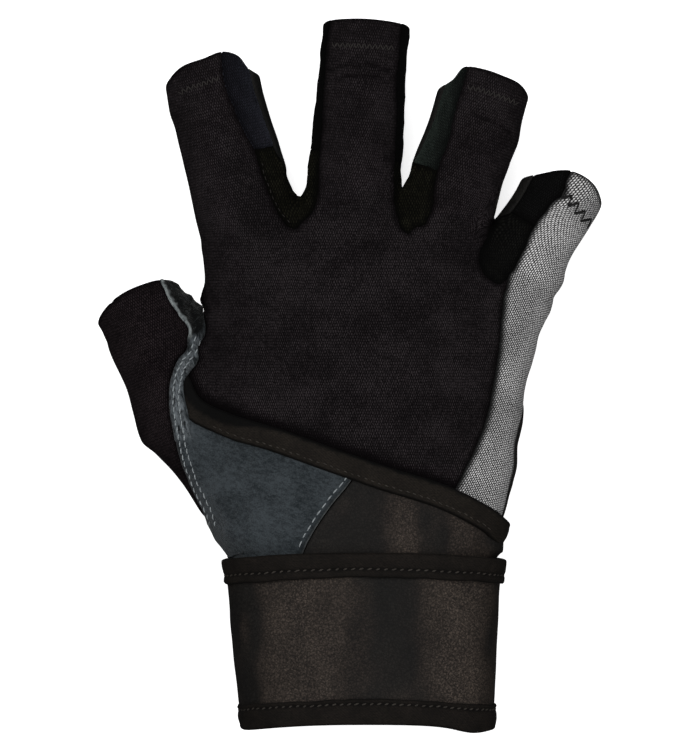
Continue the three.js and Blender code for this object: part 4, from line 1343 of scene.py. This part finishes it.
def tape_ring(edge_at, sign, seed, stitch_at):
    """A tape folded over the cuff's edge, slack on its outer face with a sunk stitch row."""

    def ring(angle, run):
        inside, outside = CUFF_IN - TAPE_GAP, CUFF_OUT + TAPE_GAP
        edge = edge_at + sign * TAPE_GAP
        t = np.unique(np.r_[np.linspace(0, 1, 13), stitch_at, stitch_at - 0.05, stitch_at + 0.05])
        outer = tape_outer(t, run, seed, stitch_at)
        foot, crest = tape_leg(run, edge_at, sign, seed)
        if sign < 0:
            crest -= REAR_SAG * math.exp(-(((angle - 36) / 17) ** 2))
        leg_y = foot + (crest - foot) * t
        turn = np.linspace(0, math.pi, 9)[1:-1]
        deep = inside - TAPE_THICK
        middle, half = (outer[-1] + deep) / 2, (outer[-1] - deep) / 2
        fold_out = middle + half * np.cos(turn)
        fold_y = crest + sign * (TAPE * 0.6 + 0.3) * np.sin(turn)
        inner_out = np.full(5, deep)
        inner_y = np.linspace(crest, edge + sign * (TAPE - TAPE_WIDTH), 5)
        back_out = np.r_[np.full(4, inside), np.full(4, outside)]
        back_y = np.r_[np.linspace(inner_y[-1], edge, 4), np.linspace(edge, foot, 4)]
        outs = np.r_[outer, fold_out, inner_out, back_out]
        alongs = np.r_[leg_y, fold_y, inner_y, back_y]
        # Painted shade in the sunk stitch row and along the foot's lip.
        shade = np.zeros(len(outs))
        shade[: len(t)] = 0.7 * bell(t, stitch_at, 0.06)
        shade[: len(t)] += 0.6 * bell(t, 0, 0.05)
        return outs, alongs, alongs, shade

    return ring


tape_first = CUFF_START - CUFF_TURN * TAPE_START / CUFF_STEPS
# Name, node, the cuff's edge that it covers, which way it folds, seed, and its stitch row on its leg
TAPES = [
    ("front_binding_tape", "front_binding", -CUFF_FRONT, 1, 21, 0.38),
    ("rear_binding_tape", "rear_binding", CUFF_REAR, -1, 31, 0.22),
]
for name, node, *facts in TAPES:
    band(name, node, TAPE_CLOTH, tape_first, cuff_end, 1.0, tape_ring(*facts))


def hook_ring(angle, run):
    along = np.linspace(-CUFF_FRONT - HOOK_MARGIN, CUFF_REAR + HOOK_MARGIN, HOOK_POINTS)
    loops = 0.06 * wave_noise(np.c_[np.full(HOOK_POINTS, run), along, np.zeros(HOOK_POINTS)], 1.6, 41)
    outs = np.r_[TAPE_OUT + loops, np.full(HOOK_INNER_POINTS, TAPE_IN)]
    alongs = np.r_[along, np.linspace(along[-1], along[0], HOOK_INNER_POINTS)]
    return outs, alongs, alongs, np.zeros(len(outs))


hook_ends = [CUFF_START - CUFF_TURN * step / CUFF_STEPS for step in HOOK_STEPS]
band("hook_tab_tape", "hook_tab", HOOK, *hook_ends, 1.2, hook_ring)

# The strap's first lap
lap_end = wrist_point(CUFF_START, np.array([-CUFF_FRONT]), 0.0)[0, 0] - 3 * STRAP
floor = SUEDE_FLOOR * PALM_HEIGHT
suede_side = np.maximum(skin_suede_side - GAP / 2, floor - skin[:, 2])
lap_field = np.maximum.reduce([
    skin_strap + BINDING_INSET,
    -suede_side,
    CUFF_REAR + LAP_INSET - skin[:, 1],
    np.where(skin[:, 2] < floor, lap_end - skin[:, 0], -20.0),
])


def lap_shape(p, depth):
    return 0.18 * wave_noise(p, 18, 51) * step_up(depth, 0.5, 4)


def lap_outer(p):
    return LAP_OUT + bulge(p)


def lap_masks(p, depth):
    # Wear and painted highlight bands across the lap, darkest as painted shade beside the suede.
    return {"worn": lap_wear_and_highlight(p[:, 0]) + 0.15 * wave_noise(p, 9, 87)}


thick_panel("wrist_strap_lap", "wrist_strap", STRAP_LEATHER, lap_field, outer=lap_outer, inner=LAP_IN,
            roll=(0.6, 0.4), shape=lap_shape, masks=lap_masks)

# The tape on the strap's leading edge
skin_strip_side = outline_distance(left_of(strip_line), skin)
binding_field = np.maximum.reduce([
    skin_strap,
    -TAPE_WIDTH - skin_strap,
    SEAM - skin_strip_side,
    np.where(skin[:, 2] < floor, lap_end - skin[:, 0], -20.0),
])


def binding_shape(p, depth):
    behind = behind_edge(p)
    soft = 0.25 * np.sin(np.pi * np.clip(behind / TAPE_WIDTH, 0, 1)) + 0.12 * wave_noise(p, 5, 61)
    groove = -0.3 * bell(behind, 5.6, 0.5) - 0.2 * bell(behind, 1.3, 0.45)
    return soft + groove


def binding_masks(p, depth):
    """Painted shadow where its upper fold turns under the cloth, widest by the thumb, and painted shade along
    its lower edge.
    """
    wide = 0.6 + 2.7 * step_up(p[:, 0], -20, -38) + 0.2 * wave_noise(p, 6, 62)
    upper = step_up(behind_edge(p), wide + 0.7, wide)
    lower = step_up(behind_edge(p), TAPE_WIDTH - 0.8, TAPE_WIDTH - 0.2)
    return {"shade": np.maximum(0.95 * upper, 0.8 * lower)}


thick_panel("edge_binding_tape", "edge_binding", BINDING, binding_field, outer=TAPE_OUT, inner=TAPE_IN - 1.2,
            roll=(1.0, 1.1), shape=binding_shape, masks=binding_masks)


# Stitches: threads laid over the surface between pairs of points
DRAPE_TOP, DRAPE_FLOOR, DRAPE_STEP, HALVINGS = 52.0, 4.0, 0.5, 12


def drape(xy, lift):
    """Points on top of the skin, seen from above, and the way out from it there."""
    low, high = np.full(len(xy), DRAPE_FLOOR), np.full(len(xy), DRAPE_TOP)
    found = np.zeros(len(xy), bool)
    for level in np.arange(DRAPE_TOP, DRAPE_FLOOR - DRAPE_STEP / 2, -DRAPE_STEP):
        inside = body_field(np.c_[xy, np.full(len(xy), level)]) < 0
        fresh = inside & ~found
        low[fresh], high[fresh] = level, level + DRAPE_STEP
        found |= inside
    for _ in range(HALVINGS):
        middle = (low + high) / 2
        inside = body_field(np.c_[xy, middle]) < 0
        low, high = np.where(inside, middle, low), np.where(inside, high, middle)
    p = np.c_[xy, (low + high) / 2]
    out = unit(body_normals(p))
    lifted = lift(p) if callable(lift) else lift
    return p + out * (skin_folds(p) + lifted)[:, None], out


THREAD_SHARES, THREAD_SIDES = (-0.97, -0.8, -0.4, 0.0, 0.4, 0.8, 0.97), 6


def sew(name, paint, rows, radius):
    """Short arched threads between the rows' starts and ends, with their own ends sunk into the surface."""
    starts, ends, out = (np.concatenate(column) for column in zip(*rows))
    shares, sides = THREAD_SHARES, THREAD_SIDES
    along, way = (starts + ends) / 2, ends - starts
    length = np.linalg.norm(way, axis=1, keepdims=True)
    way = way / length
    aside = unit(np.cross(out, way))
    up = np.cross(way, aside)
    rings = []
    for share in shares:
        thick = radius * math.sqrt(max(1 - 0.9 * share * share, 0.02))
        level = radius * (0.6 - 1.3 * share * share)
        for k in range(sides):
            turn = 2 * math.pi * k / sides
            across, rise = thick * math.cos(turn), level + thick * math.sin(turn)
            rings.append(along + way * length * share / 2 + aside * across + up * rise)
    points = np.stack(rings, 1)
    count = len(shares) * sides
    faces = []
    for i in range(len(shares) - 1):
        for k in range(sides):
            a, b = i * sides + k, i * sides + (k + 1) % sides
            faces.append((a, b, b + sides, a + sides))
    faces.append(tuple(range(sides))[::-1])
    faces.append(tuple(range(count - sides, count)))
    every = [tuple(v + i * count for v in face) for i in range(len(points)) for face in faces]
    make_object(name, points.reshape(-1, 3), every, paint)


def walk(line, start, end, pitch):
    """Points at even steps along a line seen from above, with the way along it."""
    line = np.asarray(line, float)
    run = np.r_[0, np.cumsum(np.linalg.norm(np.diff(line, axis=0), axis=1))]
    at = np.arange(start, min(end, run[-1]), pitch)
    spots = np.stack([np.interp(at, run, line[:, k]) for k in (0, 1)], 1)
    ahead = np.stack([np.interp(at + 0.5, run, line[:, k]) for k in (0, 1)], 1)
    behind = np.stack([np.interp(at - 0.5, run, line[:, k]) for k in (0, 1)], 1)
    return spots, unit(ahead - behind)


def row_on_skin(line, start, end, pitch, length, aside, lift, turn, jitter, seed):
    """A row of stitches on the glove's top, moved aside to the right of a line."""
    spots, way = walk(line, start, end, pitch)
    right = np.stack([way[:, 1], -way[:, 0]], 1)
    rng = np.random.default_rng(seed)
    spots = spots + right * (aside + jitter * rng.uniform(-1, 1, len(spots)))[:, None]
    angle = math.radians(turn) + jitter * rng.uniform(-0.6, 0.6, len(spots))
    lean = way * np.cos(angle)[:, None] + right * np.sin(angle)[:, None]
    size = length * (1 + jitter * rng.uniform(-0.6, 0.4, len(spots)))[:, None]
    starts, out = drape(spots - lean * size / 2, lift)
    ends, _ = drape(spots + lean * size / 2, lift)
    return starts, ends, out


def on_saddle(p):
    return saddle_outer(p) + saddle_shape(p, None) + 0.05


def on_lap_binding(p):
    return TAPE_OUT + binding_shape(p, None) + 0.02


# Two rows down the suede's strip, and one inside the patch's right edge
CURL_END = 11.5
PATCH_SEEN, BINDING_SEEN = (-53.5, -31), (-38, 44.5)
from_curl = thumb_line[thumb_line[:, 1] < CURL_END]
sew("suede_strip_stitches", LIGHT_THREAD, [
    row_on_skin(from_curl, 0.5, 62, 2.1, 1.75, -1.1, on_saddle, 8, 0.14, 1),
    row_on_skin(from_curl, 1.2, 62, 2.1, 1.75, -2.7, on_saddle, 8, 0.14, 2),
], 0.2)
patch_edge = suede_line[(suede_line[:, 1] > PATCH_SEEN[0]) & (suede_line[:, 1] < PATCH_SEEN[1])]
sew("suede_patch_stitches", LIGHT_THREAD, [
    row_on_skin(patch_edge, 0.8, 60, 2.6, 2.0, 1.8, on_saddle, 0, 0.1, 3),
], 0.22)


def zigzag(points, half, lift):
    """Threads from side to side of a line, as starts, ends and ways out."""
    spots, way = points
    right = np.stack([way[:, 1], -way[:, 0]], 1)
    side = np.where(np.arange(len(spots)) % 2, half, -half)[:, None]
    corners, out = drape(spots + right * side, lift)
    return corners[:-1], corners[1:], out[:-1]


def hem_row(finger, below, first, last):
    """A line a set distance under a finger's hem, between two shares of its width."""
    tube = FINGERS[finger]
    rows = np.array(HEMS[finger])
    across = np.linspace(first, last, 40)
    along = np.interp(across, rows[:, 0], rows[:, 1]) * tube.length - below
    return tube.place(across * tube.width, along)


sew("little_zigzag", BLACK_THREAD, [
    zigzag(walk([(64.1, 55.3), (73.1, 44.5)], 0, 14.2, 1.5), 1.55, 0.1),
    zigzag(walk([(63.9, 54.9), (72.9, 44.1)], 0, 14.2, 1.5), 1.55, 0.12),
], 0.26)
HEM_ROWS = [("index", 7.4, -0.38, 0.08), ("middle", 8.6, -0.36, 0.36), ("ring", 6.6, -0.2, 0.4)]
hem_zigzags = [zigzag(walk(hem_row(*row), 0, 40, 0.8), 0.8, 0.06) for row in HEM_ROWS]
sew("finger_zigzags", HEM_THREAD, hem_zigzags, 0.18)
sew("seam_stitches", HEM_THREAD, [
    row_on_skin(seam_part("index", "right", -0.1, 0.28), 0, 40, 2.1, 1.2, 0.6, 0.0, 0, 0.2, 5),
], 0.11)


def row_on_tape(edge_at, sign, seed, stitch_at, first, last, pitch, length, slant):
    """A row of slanted stitches in a tape's sunk line, between two angles round the wrist."""
    degrees, run = even_degrees(tape_first, cuff_end, 0.25)
    keep = (degrees < first) & (degrees > last)
    spots = np.arange(run[keep][0], run[keep][-1], pitch)
    sides = []
    rng = np.random.default_rng(seed)
    longer = rng.uniform(0.75, 1.25, len(spots))
    for half in (-0.5, 0.5):
        at = spots + half * length * longer * math.cos(math.radians(slant))
        angle = np.interp(at, run, degrees)
        points = []
        for here, turned in zip(at, angle):
            foot, crest = tape_leg(here, edge_at, sign, seed)
            out = tape_outer(np.array([stitch_at]), here, seed, stitch_at)[0]
            y = foot + (crest - foot) * stitch_at + half * length * math.sin(math.radians(slant))
            y += CUFF_BOW * math.sin(math.radians(turned)) ** 2
            points.append(wrist_point(np.array([turned]), np.array([y]), out)[0])
        sides.append(np.array(points))
    middle = np.interp(spots, run, degrees)
    y = (sides[0][:, 1] + sides[1][:, 1]) / 2
    out = unit(wrist_point(middle, y, 7.0) - wrist_point(middle, y, 6.0))
    return sides[0], sides[1], out


for name, node, *facts in TAPES:
    sew(f"{node}_stitches", TONAL_THREAD, [row_on_tape(*facts, 196, -16, 2.2, 1.8, 26)], 0.24)
binding_seen = crest_line[(crest_line[:, 0] > BINDING_SEEN[0]) & (crest_line[:, 0] < BINDING_SEEN[1])]
sew("edge_binding_stitches", TONAL_THREAD, [
    row_on_skin(binding_seen, 0, 100, 2.1, 1.4, 5.6, on_lap_binding, 8, 0.15, 6),
], 0.14)


# Lights, world, floor and camera
GLOVE_LEVEL = 0.02


def area_light(name, place, size, power):
    """A rectangle of light that looks at the middle of the glove."""
    data = bpy.data.lights.new(name, "AREA")
    data.shape, data.size, data.size_y = "RECTANGLE", *size
    data.energy = power
    light = bpy.data.objects.new(name, data)
    light.location = place
    light.rotation_mode = "QUATERNION"
    light.rotation_quaternion = (Vector((0, 0, GLOVE_LEVEL)) - Vector(place)).to_track_quat("-Z", "Y")
    bpy.context.scene.collection.objects.link(light)


area_light("key", (-0.35, 0.55, 1.3), (0.9, 0.9), 9.0)
area_light("fill", (0.8, -0.5, 1.1), (1.2, 1.2), 4.0)

# Even light from above the floor, and little from under it
world = bpy.data.worlds.new("studio")
world.use_nodes = True
sky = world.node_tree.nodes["Background"]
sky.inputs[0].default_value = (0.97, 0.97, 0.97, 1)
way = world.node_tree.nodes.new("ShaderNodeTexCoord")
apart = world.node_tree.nodes.new("ShaderNodeSeparateXYZ")
rise = world.node_tree.nodes.new("ShaderNodeMapRange")
rise.inputs[1].default_value, rise.inputs[2].default_value = -0.05, 0.35
rise.inputs[3].default_value, rise.inputs[4].default_value = 0.05, 0.55
world.node_tree.links.new(way.outputs["Generated"], apart.inputs[0])
world.node_tree.links.new(apart.outputs["Z"], rise.inputs[0])
world.node_tree.links.new(rise.outputs[0], sky.inputs[1])
bpy.context.scene.world = world
bpy.context.scene.view_settings.view_transform = "Standard"

FLOOR_SIZE, FLOOR_DROP = 6, 0.0004
bpy.ops.mesh.primitive_plane_add(size=FLOOR_SIZE, location=(0, 0, -FLOOR_DROP))
floor_obj = bpy.context.object
floor_obj.name = "studio_floor"
floor_paint = Paint("studio_floor")
floor_obj.data.materials.append(
    floor_paint.finish(Base_Color=(0.9, 0.9, 0.9, 1), Roughness=0.9, Emission_Color=(1, 1, 1, 1),
                       Emission_Strength=0.75)
)
floor_obj.visible_diffuse = False
floor_obj.visible_glossy = False

PIXEL = 0.0003  # metres of the glove to a pixel of the photograph
PHOTO_SIZE, GLOVE_ORIGIN = (700, 750), (349, 374.5)  # in pixels, from the top left
PHOTO_MIDDLE = (
    (PHOTO_SIZE[0] / 2 - GLOVE_ORIGIN[0]) * PIXEL + SHIFT[0] / 1000,
    (GLOVE_ORIGIN[1] - PHOTO_SIZE[1] / 2) * PIXEL + SHIFT[1] / 1000,
)
DISTANCE, SENSOR = 3.0, 36.0
camera_data = bpy.data.cameras.new("camera")
camera_data.sensor_width = SENSOR
camera_data.lens = SENSOR * DISTANCE / (PHOTO_SIZE[1] * PIXEL)
camera = bpy.data.objects.new("camera", camera_data)
camera.location = (*PHOTO_MIDDLE, DISTANCE + GLOVE_LEVEL)
bpy.context.scene.collection.objects.link(camera)
bpy.context.scene.camera = camera

bpy.context.view_layer.update()
